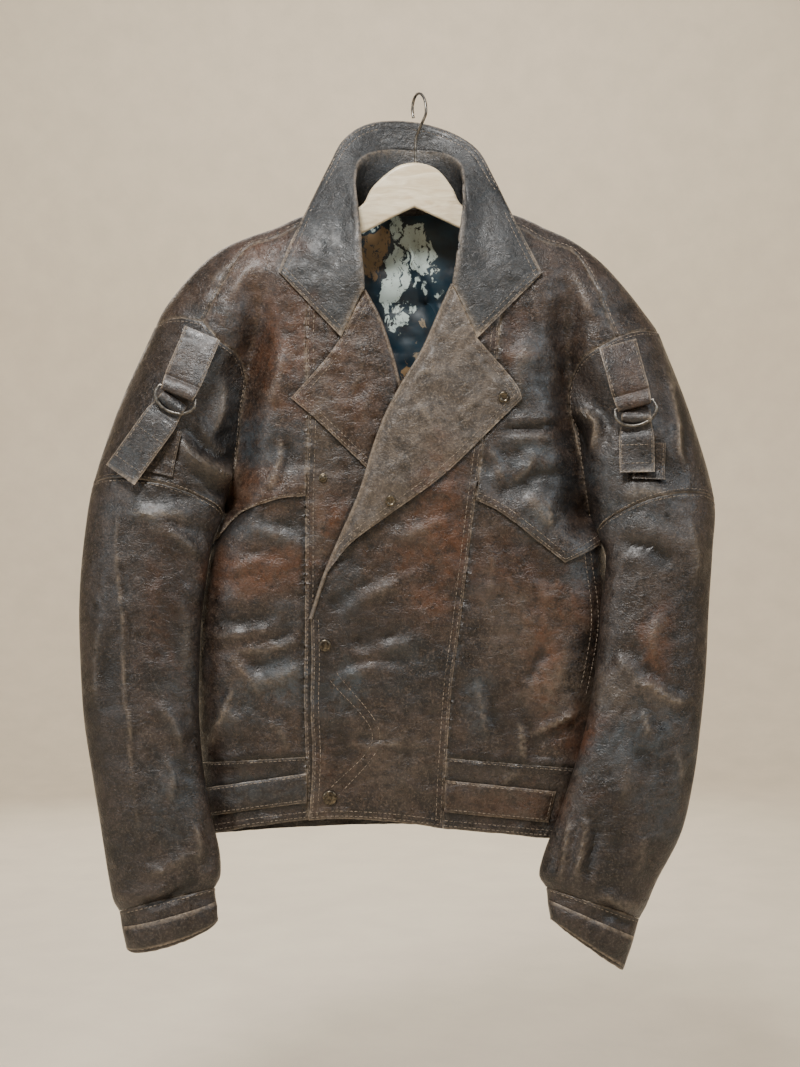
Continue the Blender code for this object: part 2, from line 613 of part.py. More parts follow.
def cut_lines():
    """Every line of the coat as points an even step apart."""
    cut = {
        "shoulder_r": steps(SHOULDER_R_LINE, GRID), "shoulder_l": steps(SHOULDER_L_LINE, GRID),
        "drop_r": steps(DROP_R_OUT, GRID), "drop_l": steps(DROP_L_OUT, GRID),
        "arm_r": steps(ARM_R, GRID), "arm_l": steps(ARM_L, GRID),
        "side_r": steps(SIDE_R_LINE, GRID,
                        [TUCKSIDE_R, FLAPSIDE_R, WAISTSIDE_R, TABTOPSIDE_R, TABLOWSIDE_R]),
        "side_l": steps(SIDE_L_LINE, GRID, [TUCKSIDE_L, FLAPSIDE_L, WAISTSIDE_L]),
        "seam_r": steps(SHOULDER_SEAM_R, GRID, [PANEL_R]), "seam_l": steps(SHOULDER_SEAM_L, GRID, [PANEL_L]),
        "panel_r": steps(PANEL_SEAM_R, GRID, [TUCKMID_R, FLAPMID_R, WAISTMID_R, TABTOP_R, TABLOW_R]),
        "panel_l": steps(PANEL_SEAM_L, GRID, [TUCKMID_L, FLAPMID_L, WAISTMID_L, TABTOP_L, TABLOW_L]),
        "flap_r": steps(FLAP_R, GRID), "tuck_r": steps(TUCK_R, GRID),
        "flap_l": np.vstack([steps(FLAP_L_A, GRID)[:-1], steps(FLAP_L_B, GRID)]),
        "tuck_l": np.vstack([steps(TUCK_L_A, GRID)[:-1], steps(TUCK_L_B, GRID)]),
        "waist_r": steps(WAIST_R, GRID), "waist_l": steps(WAIST_L, GRID),
        "hem_r": steps(HEM_R, GRID), "hem_l": steps(HEM_L, GRID),
        "hem_over": steps(HEM_OVER, GRID), "free": steps(FREE_EDGE, GRID),
        "roll_l": steps(ROLL_L, GRID), "roll_r": steps(ROLL_R, GRID), "under": steps(UNDER_EDGE, GRID),
        "hem_under": steps(HEM_UNDER, GRID),
        "neck_r": steps(NECKLINE_R, GRID, [SEAMTOP_R]), "neck_l": steps(NECKLINE_L, GRID, [SEAMTOP_L]),
        "back_neck": steps(BACK_NECK, GRID), "back_waist": steps(BACK_WAIST, BACK_GRID),
        "back_hem": steps(BACK_HEM, BACK_GRID), "lining": steps(LINING_LINE, BACK_GRID),
    }
    for name, parts in (("lapel_r", LAPEL_R_OUT), ("lapel_l", LAPEL_L_OUT), ("tab_l", TAB_L_OUT),
                        ("tab_r", TAB_R_OUT)):
        for k, part in enumerate(parts):
            cut[name + str(k)] = steps(part, GRID)
    return cut


def loop(*parts):
    """One outline from lines laid end to end; (line, True) is laid turned round."""
    out = []
    for part in parts:
        line, turned = part if isinstance(part, tuple) else (part, False)
        out.append((line[::-1] if turned else line)[:-1])
    return np.vstack(out)


def upto(line, point):
    k = int(np.argmin(((line - np.array(point)) ** 2).sum(1)))
    return line[:k + 1]


def beyond(line, point):
    k = int(np.argmin(((line - np.array(point)) ** 2).sum(1)))
    return line[k:]


def between(line, a, b):
    return upto(beyond(line, a), b)


def panels_of(c, side):
    """Outlines of one front's panels. Each is a closed loop of cut lines."""
    r = side == "r"
    p_top = PANEL_R if r else PANEL_L
    tuck_m, flap_m = (TUCKMID_R, FLAPMID_R) if r else (TUCKMID_L, FLAPMID_L)
    tuck_s, flap_s = (TUCKSIDE_R, FLAPSIDE_R) if r else (TUCKSIDE_L, FLAPSIDE_L)
    waist_m, waist_s = (WAISTMID_R, WAISTSIDE_R) if r else (WAISTMID_L, WAISTSIDE_L)
    seam_top = SEAMTOP_R if r else SEAMTOP_L
    k = "_" + side
    wedge = loop(c["shoulder" + k], c["drop" + k], (c["seam" + k], True), (upto(c["neck" + k], seam_top), True))
    chest = loop(between(c["panel" + k], p_top, flap_m), c["flap" + k], (upto(c["side" + k], flap_s), True),
                 (c["arm" + k], True), (beyond(c["seam" + k], p_top), True))
    lower = loop(between(c["panel" + k], tuck_m, waist_m), c["waist" + k],
                 (between(c["side" + k], tuck_s, waist_s), True), (c["tuck" + k], True))
    waist = loop(beyond(c["panel" + k], waist_m), c["hem" + k], (beyond(c["side" + k], waist_s), True),
                 (c["waist" + k], True))
    if r:
        centre = loop(beyond(c["neck_r"], seam_top), c["roll_r"], c["under"], c["hem_under"],
                      (c["panel_r"], True), (upto(c["seam_r"], p_top), True))
        tab = loop(c["tab_r0"], between(c["side_r"], TABTOPSIDE_R, TABLOWSIDE_R), (c["tab_r1"], True),
                   (between(c["panel_r"], TABTOP_R, TABLOW_R), True))
        lapel = loop(c["lapel_r0"], c["lapel_r1"], c["lapel_r2"], c["lapel_r3"], (c["roll_r"], True))
    else:
        centre = loop(beyond(c["neck_l"], seam_top), c["roll_l"], c["free"], c["hem_over"],
                      (c["panel_l"], True), (upto(c["seam_l"], p_top), True))
        tab = loop(c["tab_l0"], c["tab_l1"], c["tab_l2"], (between(c["panel_l"], TABTOP_L, TABLOW_L), True))
        lapel = loop(c["lapel_l0"], c["lapel_l1"], c["lapel_l2"], (c["roll_l"], True))
    return {"wedge": wedge, "chest": chest, "lower": lower, "waist": waist, "centre": centre,
            "tab": tab, "lapel": lapel}


def front(g, c, side, depth):
    """One front cut along its seams: its triangles' middles, the triangles and the panels' outlines."""
    k = "_" + side
    shapes = panels_of(c, side)
    if side == "r":
        rim = loop(c["shoulder_r"], c["drop_r"], c["arm_r"], c["side_r"], (c["hem_r"], True),
                   (c["hem_under"], True), (c["under"], True), (c["roll_r"], True), (c["neck_r"], True))
        more = [c["under"], c["hem_under"], c["tab_r0"], c["tab_r1"]] + [c["lapel_r%d" % i] for i in range(4)]
    else:
        rim = loop(c["shoulder_l"], c["drop_l"], c["arm_l"], c["side_l"], (c["hem_l"], True),
                   (c["hem_over"], True), (c["free"], True), (c["roll_l"], True), (c["neck_l"], True))
        more = [c["free"], c["hem_over"]] + [c["tab_l%d" % i] for i in range(3)] \
            + [c["lapel_l%d" % i] for i in range(3)]
    lines = [c[n + k] for n in ("shoulder", "drop", "arm", "side", "seam", "panel", "flap", "tuck",
                                "waist", "hem", "roll", "neck")] + more
    fold = steps(FOLD_R_LINE if side == "r" else FOLD_L_LINE, GRID)
    rims = [(c["shoulder" + k], (7, 25)), (c["side" + k], (7, 25)), (fold, (0, 14, 29)),
            (c["roll" + k], (9,))]
    flat, tris = triangulate(lines, rim, GRID, rims)
    ids = np.array([g.add((p[0], y, p[1])) for p, y in zip(flat, depth(flat))])
    # the flat triangles run anticlockwise in (x, z), which faces -Y
    return flat[tris].mean(1), ids[tris], shapes


def grouped(g):
    """Build the skin and the list of panels, each a set of triangles of shared points."""
    c = cut_lines()
    panels = {}
    for side, depth in (("r", front_r), ("l", front_l)):
        mid, faces, shapes = front(g, c, side, depth)
        word = "right" if side == "r" else "left"
        for name, shape in shapes.items():
            inner = inside(mid, shape)
            label = {"wedge": "back", "chest": "chest_" + word, "lower": "front_lower_" + word,
                     "waist": "waistband_" + word, "centre": "front_centre_" + word,
                     "tab": "waist_tab_" + word, "lapel": "lapel_" + word}[name]
            panels.setdefault(label, []).append(faces[inner])
        for f in faces:
            g.face(tuple(int(i) for i in f))
    waist = loop(c["back_waist"], (beyond(c["side_l"], WAISTSIDE_L), False), (c["back_hem"], True),
                 (beyond(c["side_r"], WAISTSIDE_R), True))
    rim = loop(c["back_neck"], c["shoulder_l"], c["drop_l"], c["arm_l"], c["side_l"], (c["back_hem"], True),
               (c["side_r"], True), (c["arm_r"], True), (c["drop_r"], True), (c["shoulder_r"], True))
    lines = [c[n] for n in ("back_neck", "shoulder_l", "shoulder_r", "drop_l", "drop_r", "arm_l", "arm_r",
                            "side_l", "side_r", "back_hem", "back_waist", "lining")]
    rims = [(c["shoulder_r"], (7, 25)), (c["shoulder_l"], (7, 25)), (c["side_r"], (7, 25)),
            (c["side_l"], (7, 25))]
    flat, tris = triangulate(lines, rim, BACK_GRID, rims)
    ids = np.array([g.add((p[0], y, p[1])) for p, y in zip(flat, back_y(flat))])
    mid = flat[tris].mean(1)
    faces = ids[tris][:, ::-1]
    low = inside(mid, waist)
    panels["waistband_back"] = [faces[low]]
    panels["back"].append(faces[~low])
    panels["back_lining"] = [faces[inside(mid, c["lining"][:-1])]]
    for f in faces:
        g.face(tuple(int(i) for i in f))
    cuffs = {}
    for side, rings, cuff, depth in (("r", SLEEVE_R, CUFF_R, front_r), ("l", SLEEVE_L, CUFF_L, front_l)):
        k = "_" + side
        line = np.vstack([c["drop" + k][:-1], c["arm" + k]])
        ahead = np.stack([line[:, 0], depth(line), line[:, 1]], 1)
        behind = np.stack([line[:, 0], back_y(line), line[:, 1]], 1)
        hole = np.vstack([ahead, behind[::-1][1:-1]])
        rows, ends = sleeve_rows(hole, rings, cuff, SLEEVE_STEP)
        count = len(rows[0])
        ids = [[g.add(p) for p in row] for row in rows]
        word = "right" if side == "r" else "left"
        for name, (a, b) in zip(("sleeve_upper_", "sleeve_lower_", "cuff_"), zip(ends, ends[1:])):
            quads = band(rows, a, b, 0, count)
            tri = np.array([[ids[r][q] for r, q in t] for t in quads])
            if side == "r":
                tri = tri[:, ::-1]
            panels[name + word] = [tri]
            for f in tri:
                g.face(tuple(int(i) for i in f))
        cuffs[side] = (ids, ends, count)
    g.finish()
    return panels, c, cuffs


def sheet(g, faces, inset=SEAM):
    """The points, normals and triangles of one panel, drawn in a little at its border."""
    v, f, ids = compact(g.v, faces)
    f = np.array(f)
    return border_inset(v, f, inset), g.n[ids], f


def leaf_height(d, reach, most, rest):
    """Height of a folded leaf over its panel: up from the fold, then down to its free edge."""
    return LIFT + most * smooth(d / 8) - (most - rest) * smooth((d - 12) / reach)


def clear():
    for obj in list(bpy.data.objects):
        bpy.data.objects.remove(obj, do_unlink=True)


def collar_sheet(g, c, body):
    """The collar: from the neck seam over the fold line to the outer edge."""
    def ids_of(line, depth):
        return [g.find((p[0], y, p[1])) for p, y in zip(line, depth(line))]

    right = ids_of(c["neck_r"][::-1], front_r)
    back = ids_of(c["back_neck"], back_y)
    left = ids_of(c["neck_l"], front_l)
    seam = right + back[1:-1] + left
    e = g.v[seam]
    n = g.n[seam]
    middle = np.array([-14.0, 0.0, -150.0])
    t = np.gradient(e, axis=0)
    away = np.cross(t, n)
    away /= np.linalg.norm(away, axis=1)[:, None]
    flip = ((e - middle) * away).sum(1) < 0
    away[flip] *= -1
    reach = 1.5 + 4.5 * smooth((np.abs(e[:, 1:2]) - 8) / 18)
    foot = e + away * reach + n * (LIFT + TRIM / 2 + 0.9 - 0.1 * reach)
    s = np.concatenate([[0], np.cumsum(np.linalg.norm(np.diff(e, axis=0), axis=1))])
    s /= s[-1]
    roll = [(0.0, -63, -47.5, -203), (0.09, -65, -47, -180), (0.2, -68, -37, -140), (0.28, -71, -20, -108),
            (0.34, -72, -4, -86), (0.4, -66, 17, -68), (0.45, -45, 34, -60), (0.5, -13, 41, -60),
            (0.55, 18, 34, -62), (0.6, 37, 17, -72), (0.66, 41, -4, -88), (0.72, 41, -20, -108),
            (0.8, 39, -37, -138), (0.91, 34, -47, -176), (1.0, 30, -47.5, -199)]
    outer = [(0.0, -149, -34, -175), (0.09, -140, -22, -154), (0.2, -127, -6, -128), (0.28, -112, 4, -98),
             (0.34, -100, 12, -74), (0.4, -84, 24, -46), (0.45, -58, 36, -30), (0.5, -13, 42, -28),
             (0.55, 28, 36, -39), (0.6, 56, 24, -57), (0.66, 72, 12, -84), (0.72, 84, 4, -108),
             (0.8, 97, -6, -134), (0.91, 111, -22, -161), (1.0, 121, -34, -180)]

    def guide(table, at):
        xs = [q[0] for q in table]
        return np.array([np.interp(at, xs, [q[k] for q in table]) for k in (1, 2, 3)])

    shares = [0.1, 0.3, 0.55, 0.78, 1.0]
    rows = []
    for k, share in enumerate(s):
        i, o = guide(roll, share), guide(outer, share)
        fold = 1 - smooth((0.5 - abs(share - 0.5) - 0.18) / 0.2)
        column = [foot[k], foot[k] * 0.4 + i * 0.6 + np.array([0, 1.5 * fold, 0]), i]
        for a in shares:
            p = i + (o - i) * a
            p[1] -= 3.5 * fold * math.sin(math.pi * min(1, a / 0.2) / 2) * (1 - 0.6 * a)
            column.append(p)
        rows.append(column)
    gorge = []
    for notch, point, depth in ((NOTCH_R, (-153, -185), front_r), (NOTCH_L, (124, -187), front_l)):
        a = np.array([notch[0], depth(np.array([notch], float))[0] - 4.5, notch[1]])
        b = np.array([point[0], depth(np.array([point], float))[0] - 3.0, point[1]])
        gorge.append([a] + [a + (b - a) * q for q in shares])
    cols = [[None, None] + gorge[0]] + rows + [[None, None] + gorge[1]]
    # keep the leaf in front of what it lies on
    index, verts = {}, []
    for j, column in enumerate(cols):
        for r, p in enumerate(column):
            if p is None:
                continue
            p = np.array(p, float)
            if r >= 3:
                y = surface_y(body, p[0], p[2], 6.0)
                if y is not None and y < 15:
                    p[1] = min(p[1], y - LIFT - 0.8 - TRIM / 2)
            index[(j, r)] = len(verts)
            verts.append(p)
    faces = []
    for j in range(len(cols) - 1):
        for r in range(len(cols[1]) - 1):
            quad = [(j, r), (j, r + 1), (j + 1, r + 1), (j + 1, r)]
            if all(q in index for q in quad):
                a, b, d, e2 = (index[q] for q in quad)
                faces += [(a, b, d), (a, d, e2)]
    v, f = np.array(verts), np.array(faces)
    n = corner_normals(v, f)
    if n[:, 1].mean() > 0:
        f = f[:, ::-1]
        n = -n
    return v, n, f


def hanger():
    """The wooden board: its outline in (x, z), bevelled to a thin rim."""
    half = [(-9, -71), (8, -75), (17, -81), (30, -98), (40, -116), (70, -124.5), (101, -132.5),
            (127, -145.5), (147, -156), (157, -162.5), (154, -171), (146, -174), (127, -167), (101, -158),
            (70, -149), (40, -141), (15, -128), (-10, -120), (-38, -132), (-67, -146), (-98, -153),
            (-131, -161), (-156, -169), (-171, -174), (-182, -171), (-185, -162), (-176, -154.5),
            (-156, -145), (-131, -133), (-98, -125), (-66, -116), (-55, -98), (-41, -84), (-26, -74)]
    edge = np.array(half, float)
    t = np.roll(edge, -1, axis=0) - np.roll(edge, 1, axis=0)
    n = np.stack([-t[:, 1], t[:, 0]], 1) / np.linalg.norm(t, axis=1)[:, None]
    area = (edge[:, 0] * np.roll(edge[:, 1], -1) - np.roll(edge[:, 0], -1) * edge[:, 1]).sum()
    inward = n if area > 0 else -n
    face = edge + inward * 3.2
    m = len(edge)
    verts = [(p[0], -BOARD / 2, p[1]) for p in face] + [(p[0], -BOARD / 2 + 3.2, p[1]) for p in edge] \
        + [(p[0], BOARD / 2 - 3.2, p[1]) for p in edge] + [(p[0], BOARD / 2, p[1]) for p in face]
    faces = []
    for r in range(3):
        for k in range(m):
            a, b = r * m + k, r * m + (k + 1) % m
            faces += [(a, b, b + m), (a, b + m, a + m)]
    co, _, caps, _, _, _ = delaunay_2d_cdt([Vector(p) for p in face],
                                           [(k, (k + 1) % m) for k in range(m)], [], 1, 1e-5)
    flat = np.array([tuple(p) for p in co])
    match = [int(np.argmin(((face - p) ** 2).sum(1))) for p in flat]
    caps = [[match[i] for i in f] for f in caps]
    used = {(faces[q][k], faces[q][(k + 1) % 3]) for q in range(len(faces)) for k in range(3)}
    turn = any((f[k], f[(k + 1) % 3]) in used for f in caps for k in range(3))
    for f in caps:
        f = f[::-1] if turn else f
        faces.append(tuple(f))
        faces.append(tuple(i + 3 * m for i in f[::-1]))
    verts = np.array(verts)
    return verts, outward(verts, faces)


def hook_path():
    """The hook: up from the board, out to one side and over in a round arc."""
    path = [(-9, 0, -70.6), (-9, 0, -58), (-8.5, 0, -46), (-5, -5, -36), (-1, -11.5, -27)]
    cx, cz, r = -5.0, -15.5, 17.0
    for k in range(13):
        a = math.radians(195 - 225 * k / 12)
        u = r * math.cos(a)
        path.append((cx - 0.42 * u, 0.91 * u, cz + r * math.sin(a)))
    return dense(path, 2)


def hang_straps(g):
    """The shoulder straps: loop, ring, tongue and base strip on each upper sleeve."""
    for word, top, fold, end, low in (
            ("right", (-232, -249), (-259, -313), (-319, -399), (-281, -397)),
            ("left", (203, -260), (221, -326), (224, -396), (236, -403))):
        s1 = Strap(g.tree, top, fold, STRAP_W)
        length = s1.length
        r = RING_R + LIFT + TRIM / 2
        path = [(1.0, 3.0, 1), (14, 5.4, 1), (length * 0.5, 6.4, 1), (length - 12, 2 * r + 1.6, 1),
                (length - 1, 2 * r + 1.6, 0.93)]
        for k in range(1, 6):
            a = math.pi * k / 6
            path.append((length - 1 + r * math.sin(a), 1.6 + r + r * math.cos(a), 0.9))
        path += [(length - 1, 1.6, 0.9), (length - 13, 1.5, 0.9), (length - 26, 1.5, 0.9)]
        v, f = strip(s1, path, STRAP_W, TRIM)
        make("strap_loop_" + word, v, outward(v, f), LEATHER["body"], 0.45)
        ring_path = [s1.at(length - 1, w, 1.6 + r) for w in (-20.6, -9, 0, 9, 20.6)]
        for k in range(1, 10):
            a = math.pi * k / 10
            ring_path.append(s1.at(length + 4 + 17 * math.sin(a), 22.6 * math.cos(a), 1.6 + r + 1.4))
        v, f = tube(ring_path, RING_R, 6, True)
        make("d_ring_" + word, v, outward(v, f), (0.12, 0.11, 0.1), 0.35, 0.9)
        start = np.array(fold) + s1.d * 6.5
        s2 = Strap(g.tree, start, end, STRAP_W * 0.9)
        n = s2.length
        v, f = strip(s2, [(0, 1.4, 0.82), (5, 2.6, 0.86), (11, 1.8, 0.9), (20, 1.5, 0.95), (26.5, 5.2, 1),
                          (n * 0.7, 6.6, 1), (n, 8.5, 1)], STRAP_W * 0.92, 2.2)
        make("strap_tongue_" + word, v, outward(v, f), LEATHER["dark"], 0.5)
        base_top = np.array(fold) + s1.d * 40 + np.array((4 if word == "right" else 6, 0))
        s3 = Strap(g.tree, base_top, low, 34)
        v, f = strip(s3, [(0, 1.2, 1), (s3.length * 0.33, 1.2, 1), (s3.length * 0.66, 1.2, 1),
                          (s3.length, 1.2, 1.05)], 33, 1.4)
        make("strap_base_" + word, v, outward(v, f), LEATHER["dark"], 0.5)


def main():
    clear()
    g = Garment()
    panels, c, cuffs = grouped(g)
    colours = {"chest_right": "rust", "front_lower_right": "body", "front_centre_right": "body",
               "chest_left": "body", "front_lower_left": "rust", "front_centre_left": "tan"}
    flap = {"chest_right": (c["tuck_r"], c["flap_r"]), "chest_left": (c["tuck_l"], c["flap_l"])}
    thin = {"waist_tab_right", "waist_tab_left", "lapel_right", "lapel_left", "back_lining"}
    for name, groups in panels.items():
        if name in thin:
            continue
        v, n, f = sheet(g, np.vstack(groups))
        top = 0.0
        if name in flap:
            tuck, edge = flap[name]
            flat = v[:, [0, 2]]
            d = distance(flat, tuck)
            below = np.minimum(distance(flat, edge), d) < 13
            on_band = (d < 0.5) | (distance(flat, edge) < 0.5)
            top = np.where(on_band, WALL + LIFT, (WALL + LIFT) * (1 - smooth(d / 30)) * ~on_band)
            top = np.where(below & ~on_band & (d < 9), WALL + LIFT, top)
        points, faces = wall(v, n, f, top - WALL, top)
        make(name, points, faces, LEATHER[colours.get(name, "dark")], 0.5)
    for word, side in (("right", "r"), ("left", "l")):
        v, n, f = sheet(g, np.vstack(panels["waist_tab_" + word]))
        points, faces = wall(v, n, f, LIFT, LIFT + TRIM)
        make("waist_tab_" + word, points, faces, LEATHER["dark"], 0.5)
        v, n, f = sheet(g, np.vstack(panels["lapel_" + word]))
        d = distance(v[:, [0, 2]], LINES["roll_" + side])
        low = leaf_height(d, 50, 2.6, 0.9) if side == "r" else leaf_height(d, 60, 4.2, 1.2)
        ahead = np.tile((0.0, -1.0, 0.0), (len(v), 1))
        points, faces = wall(v, ahead, f, low, low + TRIM)
        make("lapel_" + word, points, faces, LEATHER["rust" if side == "r" else "tan"], 0.45)
        ids, ends, count = cuffs[side]
        a, b = ends[2], ends[3]
        quads = band(ids, a, b, 1, count // 2 - 1)
        tri = np.array([[ids[r][q % count] for r, q in t] for t in quads])
        if side == "r":
            tri = tri[:, ::-1]
        v, n, f = sheet(g, tri, CUFF_STRAP_IN)
        points, faces = wall(v, n, f, LIFT, LIFT + TRIM)
        make("cuff_strap_" + word, points, faces, LEATHER["dark"], 0.5)
    v, n, f = sheet(g, np.vstack(panels["back_lining"]))
    points, faces = wall(v, n, f, -WALL - LIFT - LINING, -WALL - LIFT)
    make("back_lining", points, faces, (0.05, 0.08, 0.13), 0.6)
    solid = np.vstack([p for p, _ in BUILT])
    shift, all_faces = 0, []
    for p, fs in BUILT:
        all_faces += [tuple(i + shift for i in t) for t in fs]
        shift += len(p)
    body = BVHTree.FromPolygons([tuple(p) for p in solid], all_faces)
    v, n, f = collar_sheet(g, c, body)
    points, faces = wall(v, n, f, -TRIM / 2, TRIM / 2)
    make("collar", points, faces, LEATHER["dark"], 0.5)
    hang_straps(g)
    v, f = hanger()
    make("hanger_wood", v, f, (0.62, 0.45, 0.27), 0.5)
    v, f = tube(hook_path(), HOOK_R, 8)
    make("hanger_hook", v, outward(v, f), (0.18, 0.17, 0.16), 0.3, 0.9)
    cap = [(6.0, 0), (6.6, 0.6), (6.4, 1.6), (5.0, 2.4), (2.5, 2.8)]
    socket = [(5.6, 0), (5.9, 0.5), (5.6, 1.5), (4.3, 1.9), (3.0, 1.2), (1.6, 1.0)]
    stud = [(5.0, 0), (5.2, 0.5), (4.6, 1.2), (2.4, 1.5), (2.3, 3.0), (1.5, 3.6)]
    for name, x, z, rings, scale in (
            ("snap_cap_upper", -104, -578, cap, 0.95), ("snap_cap_lower", -99, -738, cap, 1.15),
            ("snap_socket_upper", 84, -317, socket, 1), ("snap_socket_lower", -35, -426, socket, 1),
            ("snap_stud", -106, -402, stud, 0.9)):
        v, f = snap(body, x, z, [(r * scale, h) for r, h in rings])
        make(name, v, f, (0.16, 0.13, 0.1), 0.4, 0.8)


main()
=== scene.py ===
"""The looks of the short worn leather coat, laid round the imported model.

The outlines and depths are the ones that the solids are cut by, in millimetres, with more
points between them. Folds, rounded edges, stitches and worn places are added here.
"""
import math

import bpy
import numpy as np
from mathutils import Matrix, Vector, kdtree, noise
from mathutils.bvhtree import BVHTree
from mathutils.geometry import delaunay_2d_cdt, tessellate_polygon


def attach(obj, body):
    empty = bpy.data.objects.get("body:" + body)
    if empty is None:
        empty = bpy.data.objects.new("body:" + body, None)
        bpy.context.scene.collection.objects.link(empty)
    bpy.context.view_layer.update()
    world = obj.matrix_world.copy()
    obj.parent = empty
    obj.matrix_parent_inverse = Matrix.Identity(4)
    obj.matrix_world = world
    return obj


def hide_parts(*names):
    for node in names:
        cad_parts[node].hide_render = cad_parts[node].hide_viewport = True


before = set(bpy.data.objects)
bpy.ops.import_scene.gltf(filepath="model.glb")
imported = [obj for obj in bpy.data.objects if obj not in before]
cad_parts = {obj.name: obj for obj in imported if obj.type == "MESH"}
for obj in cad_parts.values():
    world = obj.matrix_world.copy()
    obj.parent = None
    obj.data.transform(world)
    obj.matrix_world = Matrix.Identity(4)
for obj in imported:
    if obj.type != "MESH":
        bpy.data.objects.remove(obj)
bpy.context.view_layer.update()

# driving dimensions, millimetres
WALL = 2.0            # leather of the panels
TRIM = 1.8            # leather of lapels, tabs and straps
LINING = 1.0          # lining cloth
SEAM = 0.15           # half the gap left at a seam
LIFT = 0.4            # gap under a piece that lies on another
SHIFT_X = 5.0         # moves the middle so that the hook hangs at x = 0
VIEW = 1500.0         # the outlines below are as seen from this far in front of y = 0
VIEW_X, VIEW_Z = -25.2, -460.4
GRID = 4.7            # spacing of points on the skin
CLOSE = 4.0           # how far the sleeves lean on the body below the armpit
CREASE = 1.6          # how strongly the creases stand out
SIDE_R = 45.0         # how far in the side rounding reaches
SHOULDER_R = 58.0     # how far down the shoulder rounding reaches
FOLD = 17.0           # half width of the fold that runs from the hanger's end to the armpit
BOARD = 12.0          # thickness of the hanger's board
HOOK_R = 1.5          # wire radius of the hook
RING_R = 1.5          # wire radius of the D-rings
STRAP_W = 40.0        # width of the shoulder straps
BESIDE = (1.3, 3.0, 5.4, 8.2, 11.0)   # rows of points beside a stitched edge
STITCH, GAP = 4.0, 1.1                # a stitch and the space after it
NEAR_ROW, WIDE_ROW = BESIDE[1], BESIDE[3]   # the two rows that stitches lie on
THREAD = 0.33                         # thread radius
FOLD_AHEAD, FOLD_BEHIND = 0.72, 0.45  # how deep the armpit fold is, as a share of the depth
CUFF_STRAP = (0.045, 0.455)           # where the cuff strap starts and ends, as shares of the way round
CUFF_STRAP_ROWS = (6, -2)             # its first and last row, counted from the cuff's seam and its edge
FAR = 99.0                            # further than anything reaches
AHEAD = (0.0, -1.0, 0.0)              # toward the viewer
ROW = 0.87            # height of a row of even triangles against their side
SAME = 0.05           # points nearer than this are one
# depth of the front and of the back at each height (z, depth)
FRONT_DEPTH = [(-110, 33), (-200, 40), (-300, 45), (-430, 47), (-560, 44), (-700, 40), (-790, 34)]
BACK_DEPTH = [(-110, 37), (-200, 40), (-300, 41), (-430, 39), (-560, 36), (-700, 33), (-790, 30)]

# points where lines meet, (x, z); R is the wearer's right, the viewer's left
NECK_R, NECK_L = (-98, -120), (70, -120)
SEAMTOP_R, SEAMTOP_L = (-96, -128), (68, -128)
TIP_R, TIP_L = (-282, -243), (246, -249)
DROP_R, DROP_L = (-232, -237), (202, -254)
PIT_R, PIT_L = (-208, -430), (174, -441)
HEMSIDE_R, HEMSIDE_L = (-231, -776), (178, -784)
PANEL_R, PANEL_L = (-109, -132), (84, -133)
FLAPSIDE_R, FLAPSIDE_L = (-229, -488), (189, -468)
FLAPMID_R, FLAPMID_L = (-124.5, -421), (54, -425)
TUCKSIDE_R, TUCKSIDE_L = (-225.5, -478), (184, -458)
TUCKMID_R, TUCKMID_L = (-124.3, -411), (55.5, -414)
WAISTSIDE_R, WAISTSIDE_L = (-236, -701), (185.5, -709)
WAISTMID_R, WAISTMID_L = (-124, -695), (24, -696)
TABTOP_R, TABTOP_L = (-123, -712), (22.5, -719)
TABLOW_R, TABLOW_L = (-122.5, -743), (21, -753)
TABTOPSIDE_R, TABLOWSIDE_R = (-235, -728), (-233, -758)
HEMMID_R, HEMMID_L = (-122, -761), (20, -770)
GORGE_R, GORGE_L = (-63, -205), (30, -199)
NOTCH_R, NOTCH_L = (-87, -254), (56, -255)
EDGE_TOP = (-119, -550)
EDGE_LOW = (-121, -762)

